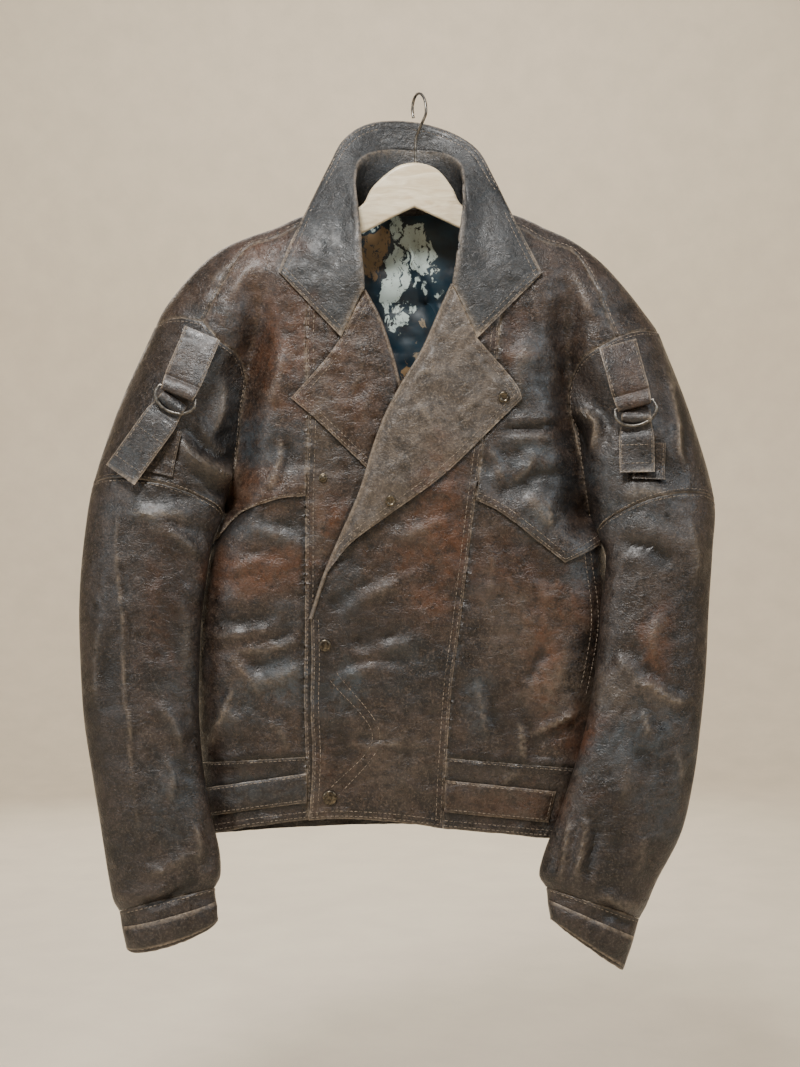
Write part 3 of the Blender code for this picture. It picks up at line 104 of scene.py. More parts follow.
# the cut lines of the coat as seen from the front, (x, z)
CUT = {
    "shoulder_r": [NECK_R, (-130, -128), (-156, -140), (-183, -149), (-212, -162), (-235, -180),
                   (-256, -203), (-272, -224), TIP_R],
    "shoulder_l": [NECK_L, (101, -128), (127, -140), (155, -153), (185, -175), (211, -203), (232, -230),
                   TIP_L],
    "drop_r": [TIP_R, (-267, -235), (-254, -234), DROP_R],
    "drop_l": [TIP_L, (227, -247), DROP_L],
    "arm_r": [DROP_R, (-215, -257), (-197, -272), (-188, -297), (-192, -330), (-197, -378), PIT_R],
    "arm_l": [DROP_L, (184, -264), (166, -277), (153, -304), (154, -335), (165, -385), PIT_L],
    "side_r": [PIT_R, TUCKSIDE_R, FLAPSIDE_R, (-238, -551), (-239, -635), WAISTSIDE_R, TABTOPSIDE_R,
               TABLOWSIDE_R, HEMSIDE_R],
    "side_l": [PIT_L, TUCKSIDE_L, FLAPSIDE_L, (195, -551), (189, -635), WAISTSIDE_L, HEMSIDE_L],
    "seam_r": [SEAMTOP_R, PANEL_R, (-131, -137), (-160, -151), (-185, -159), (-208, -191), DROP_R],
    "seam_l": [SEAMTOP_L, PANEL_L, (101, -139), (127, -154), (155, -163), (172, -184), DROP_L],
    "panel_r": [PANEL_R, (-124, -237), (-122, -336), TUCKMID_R, FLAPMID_R, (-125, -562), (-126, -640),
                WAISTMID_R, TABTOP_R, TABLOW_R, HEMMID_R],
    "panel_l": [PANEL_L, (80, -237), (76, -279), (63, -360), TUCKMID_L, FLAPMID_L, (44, -508), (36, -572),
                (30, -614), WAISTMID_L, TABTOP_L, TABLOW_L, HEMMID_L],
    "flap_r": [FLAPMID_R, (-156, -425), (-188, -439), (-215, -466), FLAPSIDE_R],
    "tuck_r": [TUCKMID_R, (-157, -415), (-191, -429), (-215, -454), TUCKSIDE_R],
    "waist_r": [WAISTMID_R, WAISTSIDE_R],
    "waist_l": [WAISTMID_L, (110, -703), (159, -707), WAISTSIDE_L],
    "hem_r": [HEMMID_R, (-180, -768), (-216, -774), HEMSIDE_R],
    "hem_l": [HEMMID_L, (75, -775), (127, -780), HEMSIDE_L],
    "hem_over": [EDGE_LOW, (-88, -760), (-25, -764), HEMMID_L],
    "free": [EDGE_TOP, (-118, -594), (-119, -643), (-117, -691), (-118, -723), EDGE_LOW],
    "roll_l": [GORGE_L, (19, -223), (-1, -268), (-25, -308), (-40, -337), (-52, -369), (-67, -418),
               (-87, -464), (-104, -504), EDGE_TOP],
    "roll_r": [GORGE_R, (-47, -235), (-34, -273), (-25, -306), (-20, -318)],
    "under": [(-20, -318), (-9, -360), (-4, -420), (-4, -600), (-4, -758)],
    "hem_under": [(-4, -758), (-60, -757), (-104, -758), HEMMID_R],
    "neck_r": [NECK_R, SEAMTOP_R, (-90, -152), (-82, -177), (-74, -197), GORGE_R],
    "neck_l": [NECK_L, SEAMTOP_L, (62, -152), (54, -177), (44, -194), GORGE_L],
    "back_neck": [NECK_R, (-60, -119), (-14, -120), (32, -119), NECK_L],
    "back_waist": [WAISTSIDE_R, (-120, -694), (0, -692), (100, -700), WAISTSIDE_L],
    "back_hem": [HEMSIDE_R, (-120, -768), (0, -766), (100, -776), HEMSIDE_L],
    "lining": [(-88, -126), (-104, -200), (-98, -300), (-50, -352), (10, -352), (62, -300), (76, -200),
               (60, -126), (-14, -127), (-88, -126)],
}
# outlines in several lines that meet at corners
CORNERED = {
    "flap_l": [[FLAPMID_L, (80, -438), (148, -491)],
               [(148, -491), (176, -477), FLAPSIDE_L]],
    "tuck_l": [[TUCKMID_L, (84, -428), (148, -479)],
               [(148, -479), (174, -466), TUCKSIDE_L]],
    "lapel_r": [[GORGE_R, NOTCH_R],
                [NOTCH_R, (-102, -275), (-140, -318)],
                [(-140, -318), (-113, -341), (-60, -392)],
                [(-60, -392), (-52, -396), (-43, -367), (-31, -338), (-20, -318)]],
    "lapel_l": [[GORGE_L, NOTCH_L],
                [NOTCH_L, (100, -308), (103, -319)],
                [(103, -319), (63, -358), (23, -397), (-6, -419), (-38, -442), (-77, -471), (-92, -489),
                 (-104, -506), (-110, -527), EDGE_TOP]],
    "tab_l": [[TABTOP_L, (139, -731)],
              [(139, -731), (131, -764)],
              [(131, -764), TABLOW_L]],
    "tab_r": [[TABTOP_R, TABTOPSIDE_R],
              [TABLOW_R, TABLOWSIDE_R]],
}
LAPEL_SIDES = {side: len(CORNERED["lapel_" + side]) for side in "rl"}
# the folds that run down from the hanger's ends to the armpits
FOLD_R_LINE = [(-176, -160), (-174, -200), (-175, -235), (-182, -273), (-190, -320), (-197, -378), PIT_R]
FOLD_L_LINE = [(154, -162), (152, -205), (150, -250), (151, -290), (154, -335), (165, -385), PIT_L]
# points that a line keeps when it is cut into even steps
JOINTS = {PANEL_R, PANEL_L, SEAMTOP_R, SEAMTOP_L, TUCKSIDE_R, TUCKSIDE_L, FLAPSIDE_R, FLAPSIDE_L,
          WAISTSIDE_R, WAISTSIDE_L, TABTOPSIDE_R, TABLOWSIDE_R, TUCKMID_R, TUCKMID_L, FLAPMID_R,
          FLAPMID_L, WAISTMID_R, WAISTMID_L, TABTOP_R, TABTOP_L, TABLOW_R, TABLOW_L}

# the sleeves: outer point, inner point, height of the middle above their line, y, half depth
SLEEVE_R = [((-348, -412), (-212, -442), 20, -22, 38), ((-357, -467), (-226, -474), 6, -31, 35),
            ((-362, -530), (-235, -536), 0, -35, 35), ((-361, -593), (-236, -596), 0, -36, 34),
            ((-357, -656), (-236, -654), 0, -40, 33), ((-349, -709), (-232, -704), 0, -43, 32),
            ((-340, -765), (-224, -752), 0, -46, 31), ((-331, -822), (-214, -798), 0, -48, 30),
            ((-326, -846), (-214, -821), 0, -49, 30), ((-320, -857), (-219, -832), 0, -50, 26)]
SLEEVE_L = [((305, -428), (184, -461), 22, -22, 38), ((303, -478), (194, -484), 6, -32, 35),
            ((299, -541), (187, -545), 0, -37, 34), ((296, -604), (180, -604), 0, -45, 32),
            ((290, -667), (170, -662), 0, -52, 30), ((283, -719), (157, -708), 0, -56, 29),
            ((270, -775), (141, -756), 0, -59, 28), ((244, -826), (124, -802), 0, -61, 28),
            ((233, -852), (121, -820), 0, -61, 28), ((226, -865), (128, -832), 0, -61, 24)]
CUFF_R = [((-317, -875), (-218, -848), 4, -51, 25), ((-312, -897), (-216, -866), -12, -52, 25)]
CUFF_L = [((219, -890), (130, -849), 0, -62, 24), ((209, -919), (133, -866), -2, -63, 24)]

# creases: (half width, height, how worn, points); a hollow lies on the left of the line
BODY_CREASES = [
    (4, 1.8, 0.8, [(-153, -356), (-150, -375), (-159, -404), (-171, -421)]),
    (9, 1.6, 0.1, [(-152, -262), (-150, -285), (-158, -312), (-170, -330)]),
    (6, 1.6, 0.2, [(-192, -385), (-193, -405), (-186, -425)]),
    (6, 1.7, 0.1, [(-190, -452), (-160, -460), (-130, -469)]),
    (7, 1.8, 0.0, [(-216, -503), (-180, -492), (-140, -497)]),
    (7, 2.4, 0.1, [(-228, -568), (-181, -566), (-144, -557)]),
    (6, 2.6, 0.5, [(-205, -583), (-166, -582), (-125, -573)]),
    (7, 2.4, 0.2, [(-208, -584), (-196, -600), (-180, -618), (-172, -640)]),
    (9, 2.8, 0.2, [(-188, -618), (-150, -612), (-127, -596)]),
    (5, 2.2, 0.6, [(-224, -688), (-218, -668), (-206, -639), (-198, -614)]),
    (6, 1.6, 0.2, [(-168, -655), (-150, -670), (-142, -690)]),
    (7, 1.6, 0.1, [(-225, -628), (-205, -652), (-188, -662)]),
    (5, 1.3, 0.1, [(-120, -640), (-95, -655), (-60, -652)]),
    (4, 1.5, 0.6, [(-84, -682), (-50, -684), (-18, -680)]),
    (7, 2.0, 0.1, [(-97, -553), (-60, -528), (-15, -508)]),
    (7, 1.9, 0.0, [(-92, -590), (-45, -584), (15, -560)]),
    (6, 1.5, 0.0, [(-100, -618), (-60, -603), (-22, -606)]),
    (8, 1.8, 0.1, [(-40, -470), (0, -456), (34, -440)]),
    (6, 1.3, 0.1, [(-30, -718), (0, -733), (18, -728)]),
    (5, -2.6, 0.0, [(72, -352), (100, -350), (124, -349), (150, -342)]),
    (6, 1.8, 0.2, [(80, -361), (110, -360), (140, -356)]),
    (5, 2.2, 0.2, [(68, -368), (77, -388), (83, -410)]),
    (6, 2.4, 0.3, [(86, -412), (103, -398), (113, -384), (112, -368)]),
    (8, -2.6, 0.0, [(58, -421), (84, -417), (104, -404), (130, -398), (166, -408)]),
    (14, 3.0, 0.2, [(104, -416), (122, -436), (134, -458)]),
    (4, 1.4, 0.6, [(130, -424), (132, -440), (133, -458)]),
    (13, 2.6, 0.1, [(112, -256), (101, -288), (103, -330)]),
    (9, 1.6, 0.1, [(139, -262), (136, -292), (140, -318)]),
    (6, 2.4, 0.3, [(54, -605), (60, -640), (68, -684)]),
    (5, 2.4, 0.6, [(100, -655), (103, -675), (106, -704)]),
    (5, 2.4, 0.5, [(166, -644), (138, -660), (105, -674)]),
    (8, -2.4, 0.0, [(134, -576), (118, -596), (107, -630)]),
    (9, 1.8, 0.1, [(150, -560), (146, -600), (128, -635)]),
    (7, 1.6, 0.1, [(64, -462), (72, -500), (62, -540)]),
    (8, 1.5, 0.0, [(100, -494), (118, -520), (150, -532)]),
    (5, 1.5, 0.2, [(84, -726), (90, -714), (106, -712)]),
    (7, 1.6, 0.2, [(-104, -150), (-114, -190), (-113, -240)]),
    (8, 1.8, 0.2, [(-205, -215), (-190, -190), (-172, -166)]),
    (7, 1.8, 0.2, [(178, -236), (165, -205), (152, -176)]),
    (6, 1.5, 0.2, [(-225, -206), (-214, -186), (-192, -172)]),
]
SLEEVE_CREASES = [
    (9, 5.4, 0.15, [(-262, -352), (-246, -376), (-214, -397), (-196, -406)]),
    (6, 2.4, 0.1, [(-240, -330), (-232, -352), (-214, -372), (-200, -376)]),
    (5, 1.8, 0.1, [(-252, -400), (-232, -412), (-212, -430)]),
    (8, 2.4, 0.3, [(-215, -290), (-212, -318), (-216, -344), (-230, -366)]),
    (8, -2.6, 0.0, [(-250, -396), (-226, -414), (-204, -424)]),
    (3, 1.2, 0.55, [(-318, -426), (-322, -448), (-323, -490), (-319, -530), (-315, -566), (-315, -637),
                   (-309, -656), (-309, -696), (-301, -760), (-300, -800)]),
    (9, 3.0, 0.4, [(-314, -434), (-290, -441), (-262, -440), (-236, -452)]),
    (9, 2.0, 0.1, [(-296, -452), (-262, -462), (-236, -486)]),
    (11, 2.2, 0.0, [(-258, -520), (-250, -570), (-254, -620)]),
    (9, 1.8, 0.1, [(-282, -640), (-262, -662), (-252, -700)]),
    (7, 1.8, 0.2, [(-276, -690), (-264, -716), (-270, -752)]),
    (8, 2.2, 0.1, [(-338, -540), (-345, -600), (-342, -660)]),
    (7, 2.4, 0.2, [(-296, -822), (-270, -812), (-238, -792)]),
    (6, -2.6, 0.0, [(-308, -852), (-272, -846), (-234, -822)]),
    (6, 2.0, 0.3, [(-244, -760), (-236, -786), (-240, -812)]),
    (5, 3.4, 0.8, [(151, -328), (173, -335), (182, -345), (181, -360), (172, -380)]),
    (8, -2.6, 0.0, [(152, -338), (160, -352), (166, -368), (170, -392)]),
    (4, 3.0, 0.8, [(247, -272), (259, -311), (266, -345), (269, -375), (276, -392)]),
    (9, 2.2, 0.1, [(284, -300), (294, -345), (300, -388)]),
    (12, 2.6, 0.3, [(204, -424), (232, -416), (268, -424)]),
    (9, -3.0, 0.0, [(198, -470), (224, -472), (246, -480), (264, -500)]),
    (8, 2.0, 0.2, [(276, -440), (286, -480), (284, -520)]),
    (6, 2.8, 0.5, [(214, -614), (240, -622), (262, -636), (294, -632)]),
    (8, 2.0, 0.1, [(196, -590), (214, -600), (226, -622)]),
    (5, 2.2, 0.5, [(229, -645), (233, -658), (237, -676)]),
    (5, 1.8, 0.4, [(262, -680), (270, -705), (268, -726)]),
    (9, 2.2, 0.1, [(250, -540), (240, -575), (246, -606)]),
    (8, 2.0, 0.1, [(206, -680), (214, -715), (204, -750)]),
    (5, 3.0, 0.4, [(166, -748), (170, -772), (165, -800), (161, -818), (165, -832)]),
    (7, -1.3, 0.0, [(178, -752), (180, -778), (174, -806), (176, -832)]),
    (3.5, 1.6, 0.5, [(152, -752), (151, -775), (146, -805), (143, -830)]),
    (7, 2.2, 0.2, [(176, -836), (206, -848), (232, -852)]),
    (6, -2.2, 0.0, [(180, -852), (204, -864), (224, -874)]),
    (7, 1.8, 0.2, [(232, -768), (228, -800), (220, -826)]),
]
BACK_CREASES = [
    (14, 2.6, 0.1, [(-150, -180), (-130, -240), (-140, -320)]),
    (14, 2.6, 0.1, [(120, -184), (104, -240), (110, -330)]),
    (10, 2.4, 0.2, [(-196, -400), (-150, -372), (-96, -362)]),
    (10, 2.4, 0.2, [(164, -410), (120, -380), (70, -370)]),
    (9, 2.2, 0.2, [(-200, -450), (-140, -440), (-70, -452)]),
    (9, 2.2, 0.1, [(166, -470), (90, -452), (30, -460)]),
    (10, 2.0, 0.0, [(-90, -210), (-20, -222), (50, -214)]),
    (8, 2.2, 0.3, [(-210, -640), (-150, -622), (-110, -640)]),
    (8, 2.2, 0.3, [(150, -650), (100, -630), (50, -646)]),
    (9, 2.0, 0.1, [(-60, -600), (0, -590), (40, -604)]),
    (7, 2.2, 0.3, [(-170, -690), (-160, -660), (-170, -630)]),
    (7, 2.2, 0.3, [(100, -694), (92, -664), (104, -634)]),
    (7, 2.0, 0.2, [(-40, -690), (-30, -664), (-44, -640)]),
    (9, 2.0, 0.1, [(-120, -500), (-90, -540), (-100, -580)]),
    (9, 2.0, 0.1, [(60, -500), (84, -530), (76, -575)]),
]
SLEEVE_BACK_CREASES = [
    (8, 2.6, 0.4, [(-340, -560), (-300, -548), (-250, -560)]),
    (9, 2.8, 0.3, [(-346, -620), (-300, -606), (-246, -628)]),
    (8, 2.4, 0.2, [(-336, -690), (-290, -676), (-244, -690)]),
    (9, 2.6, 0.2, [(-320, -450), (-280, -430), (-230, -440)]),
    (8, 2.4, 0.3, [(-300, -320), (-262, -350), (-226, -396)]),
    (7, 2.4, 0.3, [(-322, -800), (-280, -790), (-230, -776)]),
    (8, 2.6, 0.4, [(290, -570), (250, -556), (196, -574)]),
    (9, 2.8, 0.3, [(290, -640), (240, -620), (186, -640)]),
    (8, 2.4, 0.2, [(280, -710), (230, -694), (176, -700)]),
    (9, 2.6, 0.2, [(286, -460), (250, -440), (204, -454)]),
    (8, 2.4, 0.3, [(262, -330), (226, -360), (190, -404)]),
    (7, 2.4, 0.3, [(240, -820), (200, -800), (140, -784)]),
]
LAPEL_CREASES = [
    (3, -1.4, 0.0, [(0, -272), (12, -263), (26, -258)]),
    (3, 1.1, 0.6, [(-14, -300), (0, -290), (14, -288)]),
    (3.5, 1.2, 0.5, [(30, -340), (46, -328), (62, -312)]),
    (3.5, 1.1, 0.4, [(22, -356), (40, -346), (56, -328)]),
    (3, 1.0, 0.5, [(-10, -318), (2, -334), (8, -360)]),
    (3, 1.0, 0.4, [(-36, -372), (-20, -384), (-8, -404)]),
    (5, 1.3, 0.3, [(48, -270), (66, -292), (84, -306)]),
    (6, 1.4, 0.2, [(-60, -470), (-50, -440), (-30, -420)]),
    (5, 1.2, 0.2, [(-70, -250), (-66, -290), (-80, -320)]),
    (5, 1.2, 0.2, [(-48, -300), (-62, -330), (-60, -360)]),
    (6, 1.2, 0.1, [(-110, -300), (-96, -310), (-84, -334)]),
]
LINING_CREASES = [
    (5, 4.0, 0, [(-24, -130), (-12, -170), (0, -205), (14, -240), (20, -280)]),
    (7, 3.0, 0, [(-80, -180), (-66, -230), (-46, -290)]),
    (6, 2.6, 0, [(46, -200), (30, -260), (6, -320)]),
    (6, 2.4, 0, [(-50, -250), (-40, -290), (-22, -330)]),
]

# soft patches of colour, the slate ones partly painted cool sheen and the dark ones partly painted shade:
# (centre), (half sizes), strength
RUST = [((-146, -263), (30, 62), 0.75), ((-167, -499), (50, 22), 0.95), ((-102, -440), (18, 26), 0.8),
        ((-272, -540), (24, 80), 0.35), ((-178, -410), (26, 18), 0.5), ((17, -446), (22, 66), 0.95),
        ((-12, -488), (50, 16), 0.6), ((6, -530), (28, 26), 0.7), ((122, -593), (20, 58), 0.95),
        ((159, -667), (22, 22), 0.9), ((84, -500), (36, 34), 0.5), ((143, -528), (26, 26), 0.7),
        ((243, -572), (18, 36), 0.75), ((90, -257), (24, 28), 0.45), ((-162, -158), (32, 18), 0.6),
        ((-99, -278), (26, 24), 0.4), ((-66, -320), (20, 26), 0.3), ((100, -742), (64, 18), 0.55),
        ((214, -304), (12, 30), 0.3), ((-85, -700), (26, 30), 0.25), ((-186, -710), (40, 10), 0.2)]
# slate patches: a blue-grey cast that is partly the leather's grey and partly painted cool sheen
SLATE_SHEEN = [((-177, -362), (28, 24), 0.85), ((-134, -360), (16, 24), 0.5), ((-162, -457), (40, 14), 0.7),
         ((-146, -614), (36, 28), 0.9), ((-196, -642), (28, 30), 0.55), ((-140, -545), (30, 16), 0.4),
         ((-88, -625), (24, 26), 0.9), ((-83, -522), (18, 36), 0.6), ((-20, -600), (40, 40), 0.35),
         ((101, -394), (40, 42), 0.8), ((122, -441), (24, 24), 0.9), ((117, -299), (22, 52), 0.7),
         ((195, -215), (16, 20), 0.6), ((190, -394), (22, 22), 0.55), ((227, -436), (42, 28), 0.55),
         ((227, -682), (46, 36), 0.85), ((250, -735), (26, 44), 0.6), ((164, -494), (18, 28), 0.85),
         ((-230, -289), (20, 24), 0.6), ((-278, -431), (46, 14), 0.6), ((-256, -614), (26, 44), 0.45),
         ((-267, -740), (26, 44), 0.5), ((-214, -236), (24, 28), 0.6), ((60, -640), (14, 34), 0.7),
         ((-180, -725), (50, 14), 0.55), ((-210, -330), (20, 30), 0.6), ((60, -520), (20, 20), 0.3)]
TAN = [((-109, -352), (14, 50), 0.6), ((143, -625), (32, 30), 0.6), ((211, -625), (38, 22), 0.45),
       ((-112, -450), (8, 40), 0.4), ((-40, -700), (60, 40), 0.3), ((100, -560), (40, 40), 0.35),
       ((-100, -742), (12, 14), 0.3), ((110, -725), (60, 30), 0.3), ((250, -480), (40, 30), 0.25)]
# darker patches: those in the armpits and in crease hollows are painted shade
DARK_AND_SHADE = [((-262, -520), (16, 60), 0.7), ((-234, -376), (22, 30), 0.8), ((-60, -560), (40, 26), 0.5),
        ((-200, -680), (34, 26), 0.6), ((236, -486), (24, 14), 0.8), ((88, -660), (24, 40), 0.5),
        ((76, -300), (12, 40), 0.5), ((190, -760), (30, 40), 0.45), ((-110, -600), (10, 60), 0.7),
        ((168, -350), (10, 24), 0.9), ((-335, -640), (20, 120), 0.35), ((66, -694), (40, 10), 0.5)]
BACK_RUST = [((-90, -300), (60, 50), 0.6), ((70, -470), (60, 40), 0.7), ((-120, -600), (50, 40), 0.7),
             ((60, -650), (50, 30), 0.5), ((-280, -560), (30, 60), 0.5), ((240, -640), (30, 60), 0.5)]
BACK_SLATE_SHEEN = [((60, -260), (60, 50), 0.7), ((-100, -440), (60, 40), 0.6), ((0, -560), (60, 40), 0.6),
              ((-300, -700), (36, 50), 0.6), ((230, -480), (36, 50), 0.6), ((100, -560), (36, 36), 0.4)]
BACK_TAN = [((0, -380), (80, 40), 0.4), ((-60, -680), (60, 24), 0.4), ((-290, -400), (40, 40), 0.3),
            ((240, -760), (40, 40), 0.3)]


def dense(points, n=10):
    """A smooth line through the points, as many short steps."""
    p = [Vector(q) for q in points]
    if len(p) == 2:
        return np.array([p[0].lerp(p[1], i / n) for i in range(n + 1)])
    p = [2 * p[0] - p[1]] + p + [2 * p[-1] - p[-2]]
    out = []
    for a, b, c, d in zip(p, p[1:], p[2:], p[3:]):
        t1 = (b - a).length ** 0.5
        t2 = t1 + (c - b).length ** 0.5
        t3 = t2 + (d - c).length ** 0.5
        for i in range(n):
            t = t1 + (t2 - t1) * i / n
            a1 = a * ((t1 - t) / t1) + b * (t / t1)
            a2 = b * ((t2 - t) / (t2 - t1)) + c * ((t - t1) / (t2 - t1))
            a3 = c * ((t3 - t) / (t3 - t2)) + d * ((t - t2) / (t3 - t2))
            b1 = a1 * ((t2 - t) / t2) + a2 * (t / t2)
            b2 = a2 * ((t3 - t) / (t3 - t1)) + a3 * ((t - t1) / (t3 - t1))
            out.append(b1 * ((t2 - t) / (t2 - t1)) + b2 * ((t - t1) / (t2 - t1)))
    return np.array(out + [p[-2]])


def spans(line):
    """The lengths of a line's segments."""
    return np.linalg.norm(np.diff(line, axis=0), axis=1)


def run(line):
    """How far along a line each of its points lies."""
    return np.concatenate([[0], np.cumsum(spans(line))])


def placed(line, s, where):
    """The places at a distance, or at several, along a line with the running lengths s."""
    return np.stack([np.interp(where, s, line[:, k]) for k in range(line.shape[1])], -1)


def along(line, fractions):
    """Points of a line at the given shares of its length."""
    s = run(line)
    return placed(line, s, np.array(fractions) * s[-1])


def turned(t):
    """Unit vectors at right angles to flat directions."""
    return np.stack([-t[:, 1], t[:, 0]], 1) / np.linalg.norm(t, axis=1)[:, None]


def steps(points, step, joints=()):
    """A smooth line cut into even steps, with a point kept at each joint."""
    line = dense(points)
    marks = [0] + [10 * points.index(j) for j in joints] + [len(line) - 1]
    out = []
    for a, b in zip(marks, marks[1:]):
        part = line[a:b + 1]
        n = max(1, round(spans(part).sum() / step))
        out.append(along(part, np.linspace(0, 1, n + 1))[:-1])
    return np.vstack(out + [line[-1:]])


def distance(p, line):
    """Distance of each point from a line of short segments."""
    a, b = line[:-1], line[1:]
    ab = b - a
    ap = p[:, None, :] - a[None]
    t = np.clip((ap * ab).sum(2) / np.maximum((ab * ab).sum(1), 1e-9), 0, 1)
    return np.sqrt(((ap - t[..., None] * ab) ** 2).sum(2)).min(1)


def inside(p, loop):
    """Whether each point lies in a closed outline."""
    x, y = p[:, 0][:, None], p[:, 1][:, None]
    a, b = np.array(loop), np.roll(np.array(loop), -1, axis=0)
    hit = ((a[:, 1] > y) != (b[:, 1] > y))
    rise = np.where(b[:, 1] == a[:, 1], 1e-9, b[:, 1] - a[:, 1])
    cut = a[:, 0] + (y - a[:, 1]) * (b[:, 0] - a[:, 0]) / rise
    return (hit & (x < cut)).sum(1) % 2 == 1


def smooth(t):
    """A soft step from 0 to 1."""
    t = np.clip(t, 0, 1)
    return t * t * (3 - 2 * t)


def profile(d, r):
    """The height of a quarter circle of radius r at a distance from its foot, as a share."""
    return np.sqrt(np.clip(1 - (1 - np.minimum(d, r) / r) ** 2, 0, 1))


def half_depth(p, table, fold):
    """How far the coat stands out from its middle plane at each point (x, z)."""
    z = p[:, 1]
    rows = sorted(table)
    d = np.interp(z, [r[0] for r in rows], [r[1] for r in rows])
    shoulder = np.minimum(distance(p, LINES["shoulder_r"]), distance(p, LINES["shoulder_l"]))
    side = np.minimum(distance(p, LINES["side_r"]), distance(p, LINES["side_l"]))
    near = np.minimum(distance(p, LINES["fold_r"]), distance(p, LINES["fold_l"]))
    deep = fold * smooth((-150 - z) / 150)
    d = d * profile(shoulder, SHOULDER_R) * profile(side, SIDE_R) * (1 - deep * np.exp(-(near / FOLD) ** 2))
    return np.where(np.minimum(shoulder, side) < 1e-4, 0, d)


def overlap_raise(p):
    """The left centre panel lies over the right one, and higher where the right lapel is under it."""
    from_seam = distance(p, LINES["panel_l"])
    left = p[:, 0] < np.interp(p[:, 1], LINES["panel_l"][::-1, 1], LINES["panel_l"][::-1, 0])
    low = 3.4 * smooth(from_seam / 20)
    high = 4.8 * np.exp(-((p[:, 1] + 350) / 78) ** 4) * smooth((from_seam - 10) / 55)
    return np.where(left, low + high, 0) * smooth((-190 - p[:, 1]) / 60)


def front_r(p):
    return -half_depth(p, FRONT_DEPTH, FOLD_AHEAD)


def front_l(p):
    return -half_depth(p, FRONT_DEPTH, FOLD_AHEAD) - overlap_raise(p)


def back_y(p):
    return half_depth(p, BACK_DEPTH, FOLD_BEHIND)


LINES = {name: dense(CUT[name]) for name in ("shoulder_r", "shoulder_l", "side_r", "side_l", "panel_l",
                                             "roll_r", "roll_l")}
LINES.update({"fold_r": dense(FOLD_R_LINE), "fold_l": dense(FOLD_L_LINE)})


def ring(row, count):
    """One ring of a sleeve, from its outer point over the front to its inner point and back."""
    (ox, oz), (ix, iz), arch, y, deep = row
    out = []
    for k in range(2 * count):
        a = math.pi * k / count
        t = 0.5 - 0.5 * math.cos(a)
        s = math.sin(a)
        bend = abs(s) ** 0.85 * (1 if s >= 0 else -1)
        out.append((ox + (ix - ox) * t, y - deep * bend, oz + (iz - oz) * t + arch * max(s, 0.35 * -s)))
    return np.array(out)


def triangulate(lines, outline, step, rims):
    """Cut a flat outline into triangles along the lines, with rows of points beside the rims."""
    points, index, edges = [], {}, []

    def add(q):
        key = (round(float(q[0]), 2), round(float(q[1]), 2))
        if key not in index:
            index[key] = len(points)
            points.append(Vector((float(q[0]), float(q[1]))))
        return index[key]

    for line in lines:
        ids = [add(q) for q in line]
        edges += [(a, b) for a, b in zip(ids, ids[1:]) if a != b]
    walls = np.vstack([along(line, np.linspace(0, 1, 4 * len(line))) for line in lines])
    tree = tree_of(walls)
    kept, cells = [], {}
    for rim, offsets in rims:
        for k, off in enumerate(offsets):
            mids = rim if k % 2 else 0.5 * (rim[1:] + rim[:-1])
            n = turned(np.gradient(mids, axis=0))
            for sign in (1, -1):
                q = mids + sign * off * n
                q = q[inside(q, outline)]
                if len(q) == 0:
                    continue
                for c in q[distance(q, rim) >= 0.95 * off]:
                    i, j = int(c[0] // 1.2), int(c[1] // 1.2)
                    clash = any(cells.get((i + a, j + b)) for a in (-1, 0, 1) for b in (-1, 0, 1))
                    if not clash and tree.find((c[0], c[1], 0))[2] > 1.0:
                        cells[(i, j)] = True
                        kept.append(c)
    low, top = np.min(outline, axis=0), np.max(outline, axis=0)
    rows = int((top[1] - low[1]) / (step * ROW)) + 2
    cols = int((top[0] - low[0]) / step) + 2
    grid = np.array([(low[0] + (c + 0.5 * (r % 2)) * step, low[1] + r * step * ROW)
                     for r in range(rows) for c in range(cols)])
    grid = grid[inside(grid, outline)]
    tree = tree_of(list(walls) + kept)
    for q in kept + [q for q in grid if tree.find((q[0], q[1], 0))[2] > 0.62 * step]:
        add(q)
    found = delaunay_2d_cdt(points, edges, [], 0, 1e-4)
    flat = np.array([tuple(c) for c in found[0]])
    tris = np.array([f for f in found[2] if len(f) == 3])
    mid = flat[tris].mean(1)
    return flat, tris[inside(mid, outline)]


def tree_of(points):
    tree = kdtree.KDTree(len(points))
    for i, p in enumerate(points):
        tree.insert((p[0], p[1], p[2] if len(p) > 2 else 0), i)
    tree.balance()
    return tree


def sleeve_rows(hole, rings, cuff):
    """Rows of points down a sleeve; the first row is the armhole. Also where each part ends."""
    count = len(hole) // 2
    top = ring(rings[0], count)
    middle = 0.5 * (hole + top)
    turn = np.pi * np.arange(2 * count) / count
    middle[:, 1] -= 13 * np.sin(turn)
    middle[:, 0] += 5 * (0.5 + 0.5 * np.cos(turn)) * np.sign(top[0, 0] - top[count, 0])
    stations = [hole, middle] + [ring(r, count) for r in rings + cuff]
    columns = [dense([s[k] for s in stations], 8) for k in range(2 * count)]
    marks = [0, 16, 8 * (len(rings) + 1), 8 * (len(rings) + 1 + len(cuff))]
    rows, ends = [], [0]
    for a, b in zip(marks, marks[1:]):
        length = np.mean([spans(c[a:b + 1]).sum() for c in columns])
        near = np.array((0,) + BESIDE) / length
        n = max(2, round((length - 2 * BESIDE[-1]) / GRID))
        share = np.concatenate([near[:-1], np.linspace(near[-1], 1 - near[-1], n + 1), 1 - near[-2::-1]])
        parts = [along(c[a:b + 1], share) for c in columns]
        rows += [[p[i] for p in parts] for i in range(0 if a == 0 else 1, len(share))]
        ends.append(len(rows) - 1)
    return rows, ends


